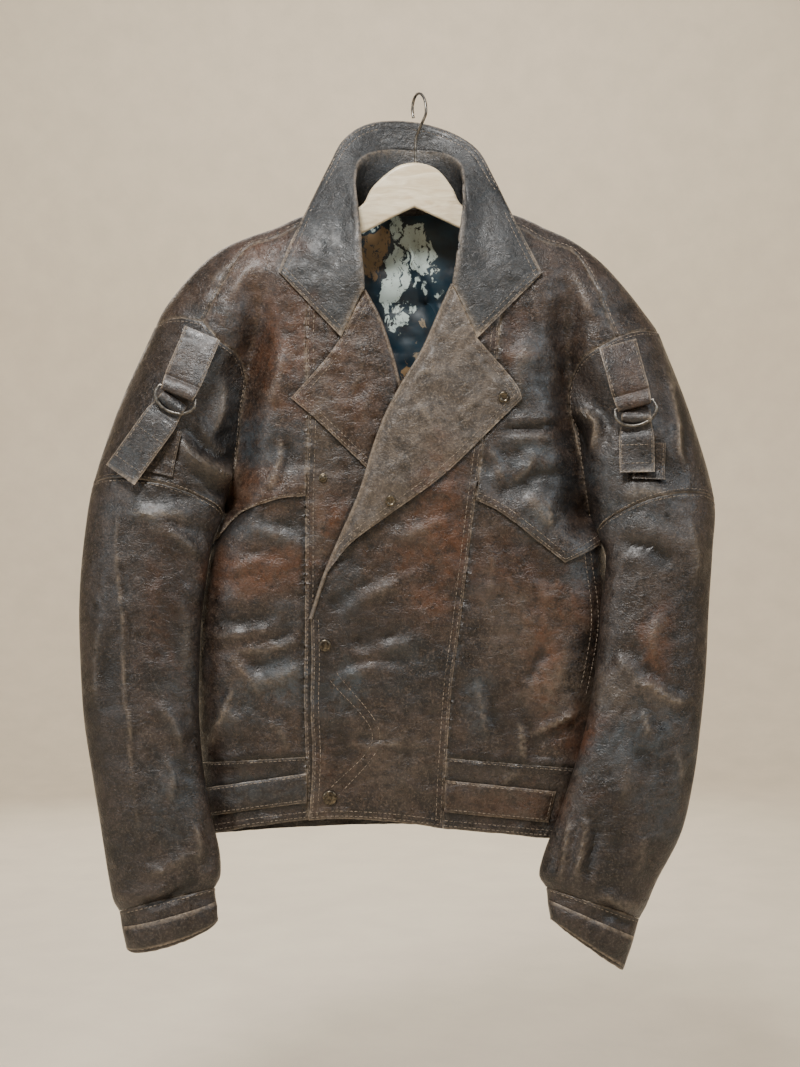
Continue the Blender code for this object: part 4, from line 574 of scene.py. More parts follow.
def wall(v, n, f, low, high):
    """A closed wall between two offsets of a sheet along its normals: outer points, then inner."""
    low = np.broadcast_to(low, len(v))[:, None]
    high = np.broadcast_to(high, len(v))[:, None]
    m = len(v)
    used = {(int(t[k]), int(t[(k + 1) % 3])) for t in f for k in range(3)}
    faces = [tuple(int(i) for i in t) for t in f] + [tuple(int(i) + m for i in t[::-1]) for t in f]
    for a, b in sorted(used):
        if (b, a) not in used:
            faces += [(b, a, a + m), (b, a + m, b + m)]
    return np.vstack([v + n * high, v + n * low]), faces


def border(f):
    """The border edges of a sheet, each with the third point of its triangle."""
    sides = {}
    for t in f:
        for k in range(3):
            a, b, c = (int(t[(k + i) % 3]) for i in range(3))
            sides.setdefault((min(a, b), max(a, b)), []).append(c)
    return [(a, b, third[0]) for (a, b), third in sides.items() if len(third) == 1]


def rim_distance(v, f):
    """How far each point of a sheet is from the sheet's border."""
    tree = tree_of([v[a] + (v[b] - v[a]) * s for a, b, _ in border(f) for s in (0, 0.25, 0.5, 0.75)])
    return np.array([tree.find(p)[2] for p in v])


def rounded(d, radius, share=0.5):
    """How much of its thickness a wall loses at this distance from its edge."""
    return share * (1 - np.sqrt(np.clip(1 - (1 - np.minimum(d / radius, 1)) ** 2, 0, 1)))


def true_place(points):
    """From the outlines as seen to true places: what is nearer the eye is drawn in a little."""
    k = 1 + points[:, 1] / VIEW
    return np.stack([VIEW_X + (points[:, 0] - VIEW_X) * k + SHIFT_X, points[:, 1],
                     VIEW_Z + (points[:, 2] - VIEW_Z) * k], 1)


def folds(p, table):
    """Height and worn share of a table of creases (width, height, rub, points) at flat points."""
    lift, worn = np.zeros(len(p)), np.zeros(len(p))
    for width, height, rub, points in table:
        line = dense(points, 6)
        near = np.flatnonzero(((p > line.min(0) - 4 * width) & (p < line.max(0) + 4 * width)).all(1))
        if len(near) == 0:
            continue
        q = p[near]
        a, ab = line[:-1], np.diff(line, axis=0)
        ap = q[:, None] - a[None]
        t = np.clip((ap * ab).sum(2) / (ab * ab).sum(1), 0, 1)
        off = ap - t[..., None] * ab
        far = np.sqrt((off ** 2).sum(2))
        k = far.argmin(1)
        row = np.arange(len(q))
        d = far[row, k]
        side = np.sign(ab[k, 0] * off[row, k, 1] - ab[k, 1] * off[row, k, 0])
        s = (k + t[row, k]) / len(ab)
        taper = smooth(s / 0.3) * smooth((1 - s) / 0.3)
        hollow = np.exp(-((d * side - 1.9 * width) / (1.2 * width)) ** 2)
        crest = 0.6 * np.exp(-(d / width) ** 2) + 0.4 * np.exp(-1.6 * d / width)
        lift[near] += CREASE * height * taper * (crest - 0.45 * hollow)
        worn[near] += 0.6 * rub * taper * np.exp(-(d / (0.22 * width + 0.6)) ** 2)
    return lift, worn


def rumple(p, across, down, height, seed, sharp=False):
    """Soft or sharp unevenness of a flat place."""
    n = [noise.noise(Vector((x / across + seed, z / down - seed, 1.7 * seed))) for x, z in p]
    n = np.array(n)
    return height * ((1 - np.minimum(np.abs(n) * 2.2, 1)) ** 2 - 0.3 if sharp else n)


def patches(p, table, seed):
    """How much of a colour lies at flat points, from soft patches (centre, half sizes, strength)."""
    out = np.zeros(len(p))
    ragged = rumple(p, 30, 30, 0.6, seed) + rumple(p, 11, 11, 0.4, seed + 3)
    ragged += rumple(p, 5, 5, 0.25, seed + 6)
    for (x, z), (rx, rz), strength in table:
        d = np.sqrt(((p[:, 0] - x) / rx) ** 2 + ((p[:, 1] - z) / rz) ** 2) + ragged
        out = np.maximum(out, strength * smooth(1.25 - 0.75 * d))
    return out


class Garment:
    """The skin of the coat: two fronts, the back and two sleeves, which share points at seams."""

    def __init__(self):
        self.points, self.cells, self.faces = [], {}, []

    def add(self, p):
        """The number of the point at a place, which is made where there is none."""
        found = self.find(p)
        if found is not None:
            return found
        self.cells.setdefault(tuple(int(math.floor(c)) for c in p), []).append(len(self.points))
        self.points.append(np.array(p, float))
        return len(self.points) - 1

    def find(self, p):
        """The shared point at a place, if there is one."""
        x, y, z = (int(math.floor(c)) for c in p)
        near = (-1, 0, 1)
        for cell in [(x + i, y + j, z + k) for i in near for j in near for k in near]:
            for q in self.cells.get(cell, ()):
                if np.abs(self.points[q] - p).max() < SAME:
                    return q
        return None

    def face(self, ids):
        if len(set(ids)) == 3:
            self.faces.append(tuple(ids))

    def finish(self):
        self.v = np.array(self.points)
        self.f = np.array(self.faces)
        self.flat_n = corner_normals(self.v, self.f)
        self.n = self.flat_n


def surface(v, f):
    """A search tree over a sheet's triangles."""
    return BVHTree.FromPolygons([tuple(p) for p in v], [tuple(map(int, t)) for t in f])


def corner_normals(v, f):
    """Normals at the points, each face weighted by its angle there."""
    n = np.zeros_like(v)
    a, b, c = v[f[:, 0]], v[f[:, 1]], v[f[:, 2]]
    flat = np.cross(b - a, c - a)
    flat /= np.maximum(np.linalg.norm(flat, axis=1), 1e-9)[:, None]
    for i, (p, q, r) in enumerate(((a, b, c), (b, c, a), (c, a, b))):
        u, w = q - p, r - p
        cos = (u * w).sum(1) / np.maximum(np.linalg.norm(u, axis=1) * np.linalg.norm(w, axis=1), 1e-9)
        np.add.at(n, f[:, i], flat * np.arccos(np.clip(cos, -1, 1))[:, None])
    return n / np.maximum(np.linalg.norm(n, axis=1), 1e-9)[:, None]


def border_inset(v, f, amount):
    """Move the border points of a sheet inward, within the sheet."""
    pull = {}
    for a, b, c in border(f):
        e = v[b] - v[a]
        e = e / np.linalg.norm(e)
        w = v[c] - v[a]
        w = w - e * w.dot(e)
        w = w / max(np.linalg.norm(w), 1e-9)
        pull.setdefault(a, []).append(w)
        pull.setdefault(b, []).append(w)
    out = v.copy()
    for i, ws in pull.items():
        m = sum(ws)
        size = np.linalg.norm(m)
        if size > 1e-6:
            m = m / size
            out[i] += m * amount / max(m.dot(ws[0]), 0.35)
    return out


def compact(v, f):
    """Only the points that the faces use."""
    ids = sorted({int(i) for t in f for i in t})
    new = {i: k for k, i in enumerate(ids)}
    return np.array([v[i] for i in ids]), [tuple(new[int(i)] for i in t) for t in f], ids


def surface_y(tree, x, z, reach=5.0):
    """The foremost y of the skin near a point, as seen from the front."""
    best = None
    for k in range(9):
        a = 2 * math.pi * k / 8
        r = reach if k < 8 else 0
        hit = tree.ray_cast(Vector((x + r * math.cos(a), -400, z + r * math.sin(a))), Vector((0, 1, 0)))
        if hit[0] is not None and (best is None or hit[0].y < best):
            best = hit[0].y
    return best


class Strap:
    """Places points on a straight strap that lies on the skin: s along, w across, h above."""

    def __init__(self, tree, start, end, width):
        self.a = np.array(start, float)
        d = np.array(end, float) - self.a
        self.length = float(np.linalg.norm(d))
        self.d = d / self.length
        self.n = np.array([-self.d[1], self.d[0]])
        self.rows = []
        for s in np.linspace(-12, self.length + 16, 12):
            c = self.a + self.d * s
            ws = np.linspace(-width / 2, width / 2, 5)
            ys = [surface_y(tree, *(c + self.n * w)) for w in ws]
            ys = [y if y is not None else 0 for y in ys]
            slope = (ys[-1] - ys[0]) / width
            base = min(y - slope * w for y, w in zip(ys, ws))
            self.rows.append((s, base, slope))

    def at(self, s, w, h):
        t = [r[0] for r in self.rows]
        base = np.interp(s, t, [r[1] for r in self.rows])
        slope = np.interp(s, t, [r[2] for r in self.rows])
        x, z = self.a + self.d * s + self.n * w
        return np.array((x, base + slope * w - h, z))


def bands(rings, sides, first=0, closed=False):
    """Triangles between rings of points that follow one another."""
    faces = []
    for i in range(rings if closed else rings - 1):
        for k in range(sides):
            a, b = i * sides + k, i * sides + (k + 1) % sides
            j = first + (i + 1) % rings * sides
            c, d = j + (k + 1) % sides, j + k
            faces += [(first + a, first + b, c), (first + a, c, d)]
    return faces


def capped(rings, sides):
    """Such triangles with both ends closed."""
    last = (rings - 1) * sides
    ends = [(0, k + 1, k) for k in range(1, sides - 1)]
    return bands(rings, sides) + ends + [(last, last + k, last + k + 1) for k in range(1, sides - 1)]


def tube(path, radius, sides=6, closed=False):
    """A round wire along a path of points."""
    path = np.array(path, float)
    count = len(path)
    verts, normal = [], None
    for i in range(count):
        before = path[(i - 1) % count] if closed or i else path[i]
        after = path[(i + 1) % count] if closed or i < count - 1 else path[i]
        t = Vector(after - before).normalized()
        if normal is None:
            normal = t.orthogonal().normalized()
        normal = (normal - t * normal.dot(t)).normalized()
        other = t.cross(normal)
        for k in range(sides):
            a = 2 * math.pi * k / sides
            verts.append(path[i] + np.array(normal * math.cos(a) + other * math.sin(a)) * radius)
    return np.array(verts), bands(count, sides, 0, True) if closed else capped(count, sides)


def outward(verts, faces):
    """Turn the faces of a closed body so that it encloses a positive volume."""
    f = np.array(faces)
    v = np.array(verts)
    volume = (v[f[:, 0]] * np.cross(v[f[:, 1]], v[f[:, 2]])).sum()
    return [tuple(t[::-1]) for t in faces] if volume < 0 else faces


def loop(*parts):
    """One outline from lines laid end to end; (line, True) is laid turned round."""
    out = []
    for part in parts:
        line, back = part if isinstance(part, tuple) else (part, False)
        out.append((line[::-1] if back else line)[:-1])
    return np.vstack(out)


def upto(line, point):
    """The start of a line, as far as its point nearest to the given one."""
    k = int(np.argmin(((line - np.array(point)) ** 2).sum(1)))
    return line[:k + 1]


def beyond(line, point):
    """The rest of a line, from its point nearest to the given one."""
    k = int(np.argmin(((line - np.array(point)) ** 2).sum(1)))
    return line[k:]


def between(line, a, b):
    return upto(beyond(line, a), b)


def panels_of(c, side):
    """Outlines of one front's panels. Each is a closed loop of cut lines."""
    at = {"top": (PANEL_R, PANEL_L), "tuck_mid": (TUCKMID_R, TUCKMID_L), "flap_mid": (FLAPMID_R, FLAPMID_L),
          "tuck_side": (TUCKSIDE_R, TUCKSIDE_L), "flap_side": (FLAPSIDE_R, FLAPSIDE_L),
          "waist_mid": (WAISTMID_R, WAISTMID_L), "waist_side": (WAISTSIDE_R, WAISTSIDE_L),
          "tab_top": (TABTOP_R, TABTOP_L), "tab_low": (TABLOW_R, TABLOW_L),
          "seam_top": (SEAMTOP_R, SEAMTOP_L)}
    at = {name: pair[side == "l"] for name, pair in at.items()}
    shoulder, drop, seam, neck, panel, flap, tuck, waist, edge, arm, hem, roll = (
        c[name + "_" + side] for name in ("shoulder", "drop", "seam", "neck", "panel", "flap", "tuck",
                                          "waist", "side", "arm", "hem", "roll"))
    tab_seam = (between(panel, at["tab_top"], at["tab_low"]), True)
    if side == "r":
        inner = [c["under"], c["hem_under"]]
        tab = [c["tab_r0"], between(edge, TABTOPSIDE_R, TABLOWSIDE_R), (c["tab_r1"], True), tab_seam]
    else:
        inner = [c["free"], c["hem_over"]]
        tab = [c["tab_l0"], c["tab_l1"], c["tab_l2"], tab_seam]
    leaf = [c["lapel_%s%d" % (side, k)] for k in range(LAPEL_SIDES[side])]
    return {"wedge": loop(shoulder, drop, (seam, True), (upto(neck, at["seam_top"]), True)),
            "chest": loop(between(panel, at["top"], at["flap_mid"]), flap,
                          (upto(edge, at["flap_side"]), True), (arm, True), (beyond(seam, at["top"]), True)),
            "lower": loop(between(panel, at["tuck_mid"], at["waist_mid"]), waist,
                          (between(edge, at["tuck_side"], at["waist_side"]), True), (tuck, True)),
            "waist": loop(beyond(panel, at["waist_mid"]), hem, (beyond(edge, at["waist_side"]), True),
                          (waist, True)),
            "centre": loop(beyond(neck, at["seam_top"]), roll, *inner, (panel, True),
                           (upto(seam, at["top"]), True)),
            "tab": loop(*tab), "lapel": loop(*leaf, (roll, True))}


def cut_lines():
    """Every line of the coat as points an even step apart."""
    lines = {name: steps(points, GRID, [p for p in points[1:-1] if p in JOINTS])
             for name, points in CUT.items()}
    for name, parts in CORNERED.items():
        lines.update({name + str(k): steps(part, GRID) for k, part in enumerate(parts)})
    for name in ("flap_l", "tuck_l"):
        lines[name] = np.vstack([lines[name + "0"][:-1], lines[name + "1"]])
    return lines


def front(g, c, side, depth):
    """One front cut along its seams: its triangles' middles, the triangles and the panels' outlines."""
    inner, under, tabs = ("under", "hem_under", 2) if side == "r" else ("free", "hem_over", 3)
    shoulder, drop, arm, edge, hem, roll, neck = (
        c[name + "_" + side] for name in ("shoulder", "drop", "arm", "side", "hem", "roll", "neck"))
    rim = loop(shoulder, drop, arm, edge, (hem, True), (c[under], True), (c[inner], True), (roll, True),
               (neck, True))
    names = [name + "_" + side for name in ("shoulder", "drop", "arm", "side", "seam", "panel", "flap",
                                            "tuck", "waist", "hem", "roll", "neck")]
    names += [inner, under] + ["tab_%s%d" % (side, i) for i in range(tabs)]
    names += ["lapel_%s%d" % (side, i) for i in range(LAPEL_SIDES[side])]
    rims = [(c[n], BESIDE) for n in names if not n.startswith("tuck")]
    flat, tris = triangulate([c[n] for n in names], rim, GRID, rims)
    ids = np.array([g.add((p[0], y, p[1])) for p, y in zip(flat, depth(flat))])
    # the flat triangles run anticlockwise in (x, z), which faces -Y
    return flat[tris].mean(1), ids[tris], panels_of(c, side)


def skin():
    """The whole skin, and its panels as sets of triangles of shared points."""
    g = Garment()
    c = cut_lines()
    panels = {}
    for side, word, depth in (("r", "right", front_r), ("l", "left", front_l)):
        mid, faces, shapes = front(g, c, side, depth)
        labels = {"wedge": "back", "chest": "chest_" + word, "lower": "front_lower_" + word,
                  "waist": "waistband_" + word, "centre": "front_centre_" + word,
                  "tab": "waist_tab_" + word, "lapel": "lapel_" + word}
        for name, shape in shapes.items():
            panels.setdefault(labels[name], []).append(faces[inside(mid, shape)])
        for f in faces:
            g.face(tuple(int(i) for i in f))
    waist = loop(c["back_waist"], beyond(c["side_l"], WAISTSIDE_L), (c["back_hem"], True),
                 (beyond(c["side_r"], WAISTSIDE_R), True))
    rim = loop(c["back_neck"], c["shoulder_l"], c["drop_l"], c["arm_l"], c["side_l"],
               (c["back_hem"], True), (c["side_r"], True), (c["arm_r"], True), (c["drop_r"], True),
               (c["shoulder_r"], True))
    names = ["back_neck", "shoulder_l", "shoulder_r", "drop_l", "drop_r", "arm_l", "arm_r", "side_l",
             "side_r", "back_hem", "back_waist", "lining"]
    rims = [(c[n], BESIDE) for n in names if n != "lining"]
    flat, tris = triangulate([c[n] for n in names], rim, GRID, rims)
    ids = np.array([g.add((p[0], y, p[1])) for p, y in zip(flat, back_y(flat))])
    mid = flat[tris].mean(1)
    faces = ids[tris][:, ::-1]
    low = inside(mid, waist)
    panels["waistband_back"] = [faces[low]]
    panels["back"].append(faces[~low])
    panels["back_lining"] = [faces[inside(mid, c["lining"][:-1])]]
    for f in faces:
        g.face(tuple(int(i) for i in f))
    sleeves = {}
    for side, word, rings, cuff, depth in (("r", "right", SLEEVE_R, CUFF_R, front_r),
                                           ("l", "left", SLEEVE_L, CUFF_L, front_l)):
        line = np.vstack([c["drop_" + side][:-1], c["arm_" + side]])
        ahead = np.stack([line[:, 0], depth(line), line[:, 1]], 1)
        behind = np.stack([line[:, 0], back_y(line), line[:, 1]], 1)
        hole = np.vstack([ahead, behind[::-1][1:-1]])
        rows, ends = sleeve_rows(hole, rings, cuff)
        ids = np.array([[g.add(p) for p in row] for row in rows])
        for name, (a, b) in zip(("sleeve_upper_", "sleeve_lower_", "cuff_"), zip(ends, ends[1:])):
            tri = quads_of(ids, a, b, 0, ids.shape[1], side)
            panels[name + word] = [tri]
            for f in tri:
                g.face(tuple(int(i) for i in f))
        sleeves[side] = (ids, ends)
    g.finish()
    return g, c, panels, sleeves


def quads_of(ids, top, low, first, last, side):
    """Triangles of a run of a sleeve's rows and columns, facing out."""
    count = ids.shape[1]
    r, q = np.meshgrid(np.arange(top, low), np.arange(first, last), indexing="ij")
    a, b = ids[r, q % count].ravel(), ids[r, (q + 1) % count].ravel()
    e, d = ids[r + 1, q % count].ravel(), ids[r + 1, (q + 1) % count].ravel()
    tri = np.vstack([np.stack([a, b, d], 1), np.stack([a, d, e], 1)])
    return tri[:, ::-1] if side == "r" else tri


# unevenness of the skin: (across, down, height, added to the seed, whether it is sharp)
UNEVEN = [(52, 30, 2.1, 0, False), (20, 13, 1.1, 1, False), (26, 12, 1.1, 2, True),
          (14, 20, 0.7, 4, True), (8, 6, 0.35, 3, False)]
# the lines of the fronts with a doubled edge
DOUBLED = ("panel_r", "panel_l", "free", "hem_over", "flap_r", "flap_l", "hem_r", "hem_l", "hem_under",
           "waist_r", "waist_l")


def facing(n):
    """How much points look forward and backward; both are 0 at the very side."""
    return smooth((-n[:, 1] - 0.08) / 0.5), smooth((n[:, 1] - 0.08) / 0.5)


def pressed(d, width=1.1):
    """How deep two rows of stitches are pressed in, at a distance from the edge they follow."""
    return np.exp(-((d - NEAR_ROW) / width) ** 2) + 0.8 * np.exp(-((d - WIDE_ROW) / (width + 0.1)) ** 2)


def seam_relief(p, lines):
    """Rows of stitches pressed into a doubled edge, along the given lines."""
    d = np.min([distance(p, line) for line in lines], axis=0)
    return 1 - smooth((d - 8.6) / 2.4) - 0.7 * pressed(d, 1.0)


def settle(g, c, sleeves):
    """Fold and rumple the skin. Keeps how worn each point is, and the painted shade of its fold valleys."""
    p = g.v[:, [0, 2]]
    ahead, behind = facing(g.n)
    arm = np.zeros(len(p), bool)
    for ids, _ in sleeves.values():
        arm[ids[1:].ravel()] = True
    lift, worn = np.zeros(len(p)), np.zeros(len(p))
    for where, weight, table in ((~arm, ahead, BODY_CREASES), (arm, ahead, SLEEVE_CREASES),
                                 (~arm, behind, BACK_CREASES), (arm, behind, SLEEVE_BACK_CREASES)):
        k = np.flatnonzero(where & (weight > 0))
        up, rub = folds(p[k], table)
        lift[k] += weight[k] * up
        worn[k] += weight[k] * rub
    soft = np.zeros(len(p))
    for part, seed in ((behind > 0, 9.0), (behind <= 0, 2.0)):
        for across, down, height, more, sharp in UNEVEN:
            soft[part] += rumple(p[part], across, down, height, seed + more, sharp)
    lift += soft * (ahead + behind) * np.where(arm, 0.8, 1.0)
    top = smooth((-150 - p[:, 1]) / 60)
    lift *= 0.35 + 0.65 * top
    folded = lift.copy()
    k = np.flatnonzero(~arm & (ahead > 0))
    lift[k] += ahead[k] * seam_relief(p[k], [c[name] for name in DOUBLED])
    g.v = g.v + g.n * lift[:, None]
    for ids, _ in sleeves.values():
        q = g.v[ids[1:]]
        inner = 1 if q[:, :, 0].mean() < 0 else -1
        near = smooth(((q[:, :, 0] - q[:, :, 0].mean(1, keepdims=True)) * inner - 22) / 40)
        g.v[ids[1:], 0] += inner * CLOSE * near * np.exp(-((q[:, :, 2] + 505) / 60) ** 2)
    g.n = corner_normals(g.v, g.f)
    g.tree = surface(g.v, g.f)
    g.worn = np.clip(worn + 0.10 * smooth((folded - 1.5) / 2.5), 0, 1)
    # painted shade: darker in the fold valleys
    g.hollow = smooth((-folded - 0.2) / 2.4)


def sheet_of(g, faces, inset=SEAM):
    """The points, normals, triangles and skin numbers of one panel, drawn in a little at its border."""
    v, f, ids = compact(g.v, faces)
    f = np.array(f)
    return border_inset(v, f, inset), g.n[ids], f, np.array(ids)


def dye(points, normals, worn, hollow, extra=None):
    """The colour shares of points: each is a named number from 0 to 1."""
    p = points[:, [0, 2]]
    ahead = normals[:, 1] <= 0.15
    out = {"worn": worn, "hollow": hollow}
    for name, table, back, seed in (("rust", RUST, BACK_RUST, 4.0), ("slate_sheen", SLATE_SHEEN, BACK_SLATE_SHEEN, 7.0),
                                    ("tan", TAN, BACK_TAN, 11.0), ("dark", DARK_AND_SHADE, [], 15.0)):
        out[name] = np.where(ahead, patches(p, table, seed), patches(p, back, seed))
    for name, amount in (extra or {}).items():
        out[name] = np.clip(np.maximum(out[name], amount), 0, 1)
    return out


def make(name, points, faces, shares, mat, nodes, sharp=42):
    """One visible piece from points in millimetres, riding on the coat and standing for its nodes."""
    points = true_place(np.asarray(points))
    mesh = bpy.data.meshes.new(name)
    mesh.from_pydata([tuple(p * 0.001) for p in points], [], [tuple(map(int, f)) for f in faces])
    mesh.materials.append(mat)
    for key, values in shares.items():
        layer = mesh.attributes.new(key, "FLOAT", "POINT")
        layer.data.foreach_set("value", np.asarray(values, np.float32))
    mesh.shade_smooth()
    mesh.set_sharp_from_angle(angle=math.radians(sharp))
    obj = placed_object(name, mesh)
    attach(obj, "root")
    if nodes:
        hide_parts(*nodes)
    return obj


BUILT = {}         # the panels' points and faces


def leather_piece(name, v, n, f, low, high, worn, hollow, mat, slot, edge=0.8, round_off=1.4, extra=None,
                  cuts_round=0, held="hung", rests=("hanger_board",), along_y=False):
    """A leather panel: a wall with softly rounded, worn edges.

    Its heights run from low to high above the sheet. cuts_round is not used; it was meant to be 0 for a flat
    piece,
    1 for a piece that its length goes round once and 2 for a tube.
    """
    d = rim_distance(v, f)
    thick = high - low
    out = np.tile(AHEAD, (len(v), 1)) if along_y else n
    points, faces = wall(v, out, f, low, high - thick * rounded(d, round_off))
    patchy = 0.65 + 0.5 * rumple(v[:, [0, 2]], 14, 14, 1.0, 5.0)
    rub = np.clip(worn + edge * np.exp(-(d / 0.9) ** 2) * patchy, 0, 1)
    # painted shade: the fold-valley and overlap shade, and a dark line along the edges of pieces that lie
    # under their neighbours
    painted_shade = np.clip(hollow + (0.95 - edge) * np.exp(-(d / 2.4) ** 2) * 1.1, 0, 1)
    shares = dye(v, n, rub, painted_shade, extra)
    both = {k: np.concatenate([a, a * (0.0 if k == "worn" else 1.0)]) for k, a in shares.items()}
    obj = make("leather_" + name, points, faces, both, mat, [name])
    BUILT["leather_" + name] = (points, [tuple(int(i) for i in t) for t in faces])


def beside(line, off, shape):
    """A line moved inside an outline, cut short where it leaves it."""
    fine = along(line, np.linspace(0, 1, max(8, int(spans(line).sum() / 2))))
    n = turned(np.gradient(fine, axis=0))
    sides = [fine + s * off * n for s in (1, -1)]
    best = max(sides, key=lambda q: inside(q, shape).sum())
    keep = inside(best, shape) & (distance(best, fine) > 0.93 * off)
    return best[keep]


def onto(tree, flat, ahead=True):
    """Points and normals on a surface, in front of flat points (x, z)."""
    out, normals = [], []
    for x, z in flat:
        hit = tree.ray_cast(Vector((x, -300 if ahead else 300, z)), Vector((0, 1 if ahead else -1, 0)))
        if hit[0] is not None:
            out.append(np.array(hit[0]))
            normals.append(np.array(hit[1]))
    return np.array(out), np.array(normals)


# one strand of thread, ring by ring: (share of its length, share of its radius, height)
STRAND = ((0.0, 0.35, -0.35), (0.16, 0.95, 0.1), (0.5, 1.1, 0.3), (0.84, 0.95, 0.1), (1.0, 0.35, -0.35))
STRAND_SIDES = 5
JUMP = 9               # a longer step between two points of a path carries no stitch


def stitches(path, normals, count_from=0):
    """Threads along a path on a surface: short curved strands with their ends let in."""
    if len(path) < 3:
        return np.zeros((0, 3)), []
    path, normals = np.array(path), np.array(normals)
    steps_between, s = spans(path), run(path)
    verts, faces = [], []
    for k in range(int(s[-1] / (STITCH + GAP))):
        start = k * (STITCH + GAP) + GAP / 2
        seg = int(np.searchsorted(s, start + STITCH / 2)) - 1
        if steps_between[min(seg, len(steps_between) - 1)] > JUMP:
            continue
        a, b = placed(path, s, start), placed(path, s, start + STITCH)
        up = normals[min(max(seg, 0), len(normals) - 1)]
        t = (b - a) / max(np.linalg.norm(b - a), 1e-6)
        side = np.cross(t, up)
        side /= max(np.linalg.norm(side), 1e-6)
        up = np.cross(side, t)
        faces += bands(len(STRAND), STRAND_SIDES, len(verts) + count_from)
        for share, radius, height in STRAND:
            mid = a + (b - a) * share + up * (height * THREAD * 1.6)
            for j in range(STRAND_SIDES):
                w = 2 * math.pi * j / STRAND_SIDES
                verts.append(mid + (side * math.cos(w) + up * math.sin(w)) * THREAD * radius)
    return np.array(verts).reshape(-1, 3), faces


def sew(name, rows, mat):
    """One object holding several rows of stitches."""
    verts, faces = [], []
    for path, normals in rows:
        v, f = stitches(path, normals, sum(len(q) for q in verts))
        verts.append(v)
        faces += f
    verts = [v for v in verts if len(v)]
    if verts:
        make("stitching_" + name, np.vstack(verts), faces, {}, mat, [])


# the collar's fold and outer edge: (share of the way round, x, y, z)
COLLAR_ROLL = [(0.0, -63, -47.5, -203), (0.09, -65, -47, -180), (0.2, -68, -37, -140),
               (0.28, -71, -20, -108), (0.34, -72, -4, -86), (0.4, -66, 17, -68), (0.45, -45, 34, -60),
               (0.5, -13, 41, -60), (0.55, 18, 34, -62), (0.6, 37, 17, -72), (0.66, 41, -4, -88),
               (0.72, 41, -20, -108), (0.8, 39, -37, -138), (0.91, 34, -47, -176), (1.0, 30, -47.5, -199)]
COLLAR_OUTER = [(0.0, -149, -34, -175), (0.09, -140, -22, -154), (0.2, -127, -6, -128),
                (0.28, -112, 4, -98), (0.34, -100, 12, -74), (0.4, -84, 24, -46), (0.45, -58, 36, -30),
                (0.5, -13, 42, -28), (0.55, 28, 36, -39), (0.6, 56, 24, -57), (0.66, 72, 12, -84),
                (0.72, 84, 4, -108), (0.8, 97, -6, -134), (0.91, 111, -22, -161), (1.0, 121, -34, -180)]
COLLAR_EDGE = np.array(COLLAR_OUTER)[:, [1, 3]]     # its outer edge as seen from the front
COLLAR_SHARES = (0.1, 0.3, 0.55, 0.78, 1.0)
COLLAR_FINE = 5        # points between two rows of the collar's pattern
COLLAR_HALF = 1.2      # half the collar's thickness
COLLAR_CORNER = 9      # columns of points from the end of the neck seam to the collar's point
COLLAR_POINTS = ((-153, -185), (124, -187))         # (x, z) of the collar's points


def guide(table, at):
    """A place on a smooth line given at shares of its length."""
    line = dense([q[1:] for q in table], 8)
    shares = np.interp(np.arange(len(line)) / 8, np.arange(len(table)), [q[0] for q in table])
    return placed(line, shares, at)


def collar_grid(g, c):
    """The collar as columns of points: from the neck seam over the fold to the outer edge."""
    def ids_of(line, depth):
        return [g.find((p[0], y, p[1])) for p, y in zip(line, depth(line))]

    seam = ids_of(c["neck_r"][::-1], front_r) + ids_of(c["back_neck"], back_y)[1:-1] \
        + ids_of(c["neck_l"], front_l)
    e, n = np.array(g.points)[seam], g.flat_n[seam]
    away = np.cross(np.gradient(e, axis=0), n)
    away /= np.linalg.norm(away, axis=1)[:, None]
    away[((e - np.array([-14.0, 0.0, -150.0])) * away).sum(1) < 0] *= -1
    reach = 1.5 + 4.5 * smooth((np.abs(e[:, 1:2]) - 8) / 18)
    behind = smooth(e[:, 1:2] / 12)
    reach = reach * (1 - behind) - 3.5 * behind
    foot = e + away * reach + n * (LIFT + TRIM / 2 + 0.9 - 0.1 * reach * (1 - behind) + 0.7 * behind)
    s = run(e)
    columns = []
    for k, share in enumerate(s / s[-1]):
        i, o = guide(COLLAR_ROLL, share), guide(COLLAR_OUTER, share)
        fold = 1 - smooth((0.5 - abs(share - 0.5) - 0.18) / 0.2)
        column = [foot[k], foot[k] * 0.4 + i * 0.6 + np.array([0, 1.5 * fold, 0]), i]
        for a in COLLAR_SHARES:
            p = i + (o - i) * a
            p[1] -= 3.5 * fold * math.sin(math.pi * min(1, a / 0.2) / 2) * (1 - 0.6 * a)
            column.append(p)
        columns.append(dense(column, COLLAR_FINE))
    blank = np.full((2 * COLLAR_FINE, 3), np.nan)
    for notch, point, depth, last in zip((NOTCH_R, NOTCH_L), COLLAR_POINTS, (front_r, front_l),
                                         (False, True)):
        a = np.array([notch[0], depth(np.array([notch], float))[0] - 4.5, notch[1]])
        b = np.array([point[0], depth(np.array([point], float))[0] - 3.0, point[1]])
        end = dense([a + (b - a) * q for q in (0,) + COLLAR_SHARES], COLLAR_FINE)
        inner = columns[-1 if last else 0][2 * COLLAR_FINE:]
        more = [np.vstack([blank, inner + (end - inner) * (q + 1) / COLLAR_CORNER])
                for q in range(COLLAR_CORNER)]
        columns = columns + more if last else more[::-1] + columns
    return np.array(columns)


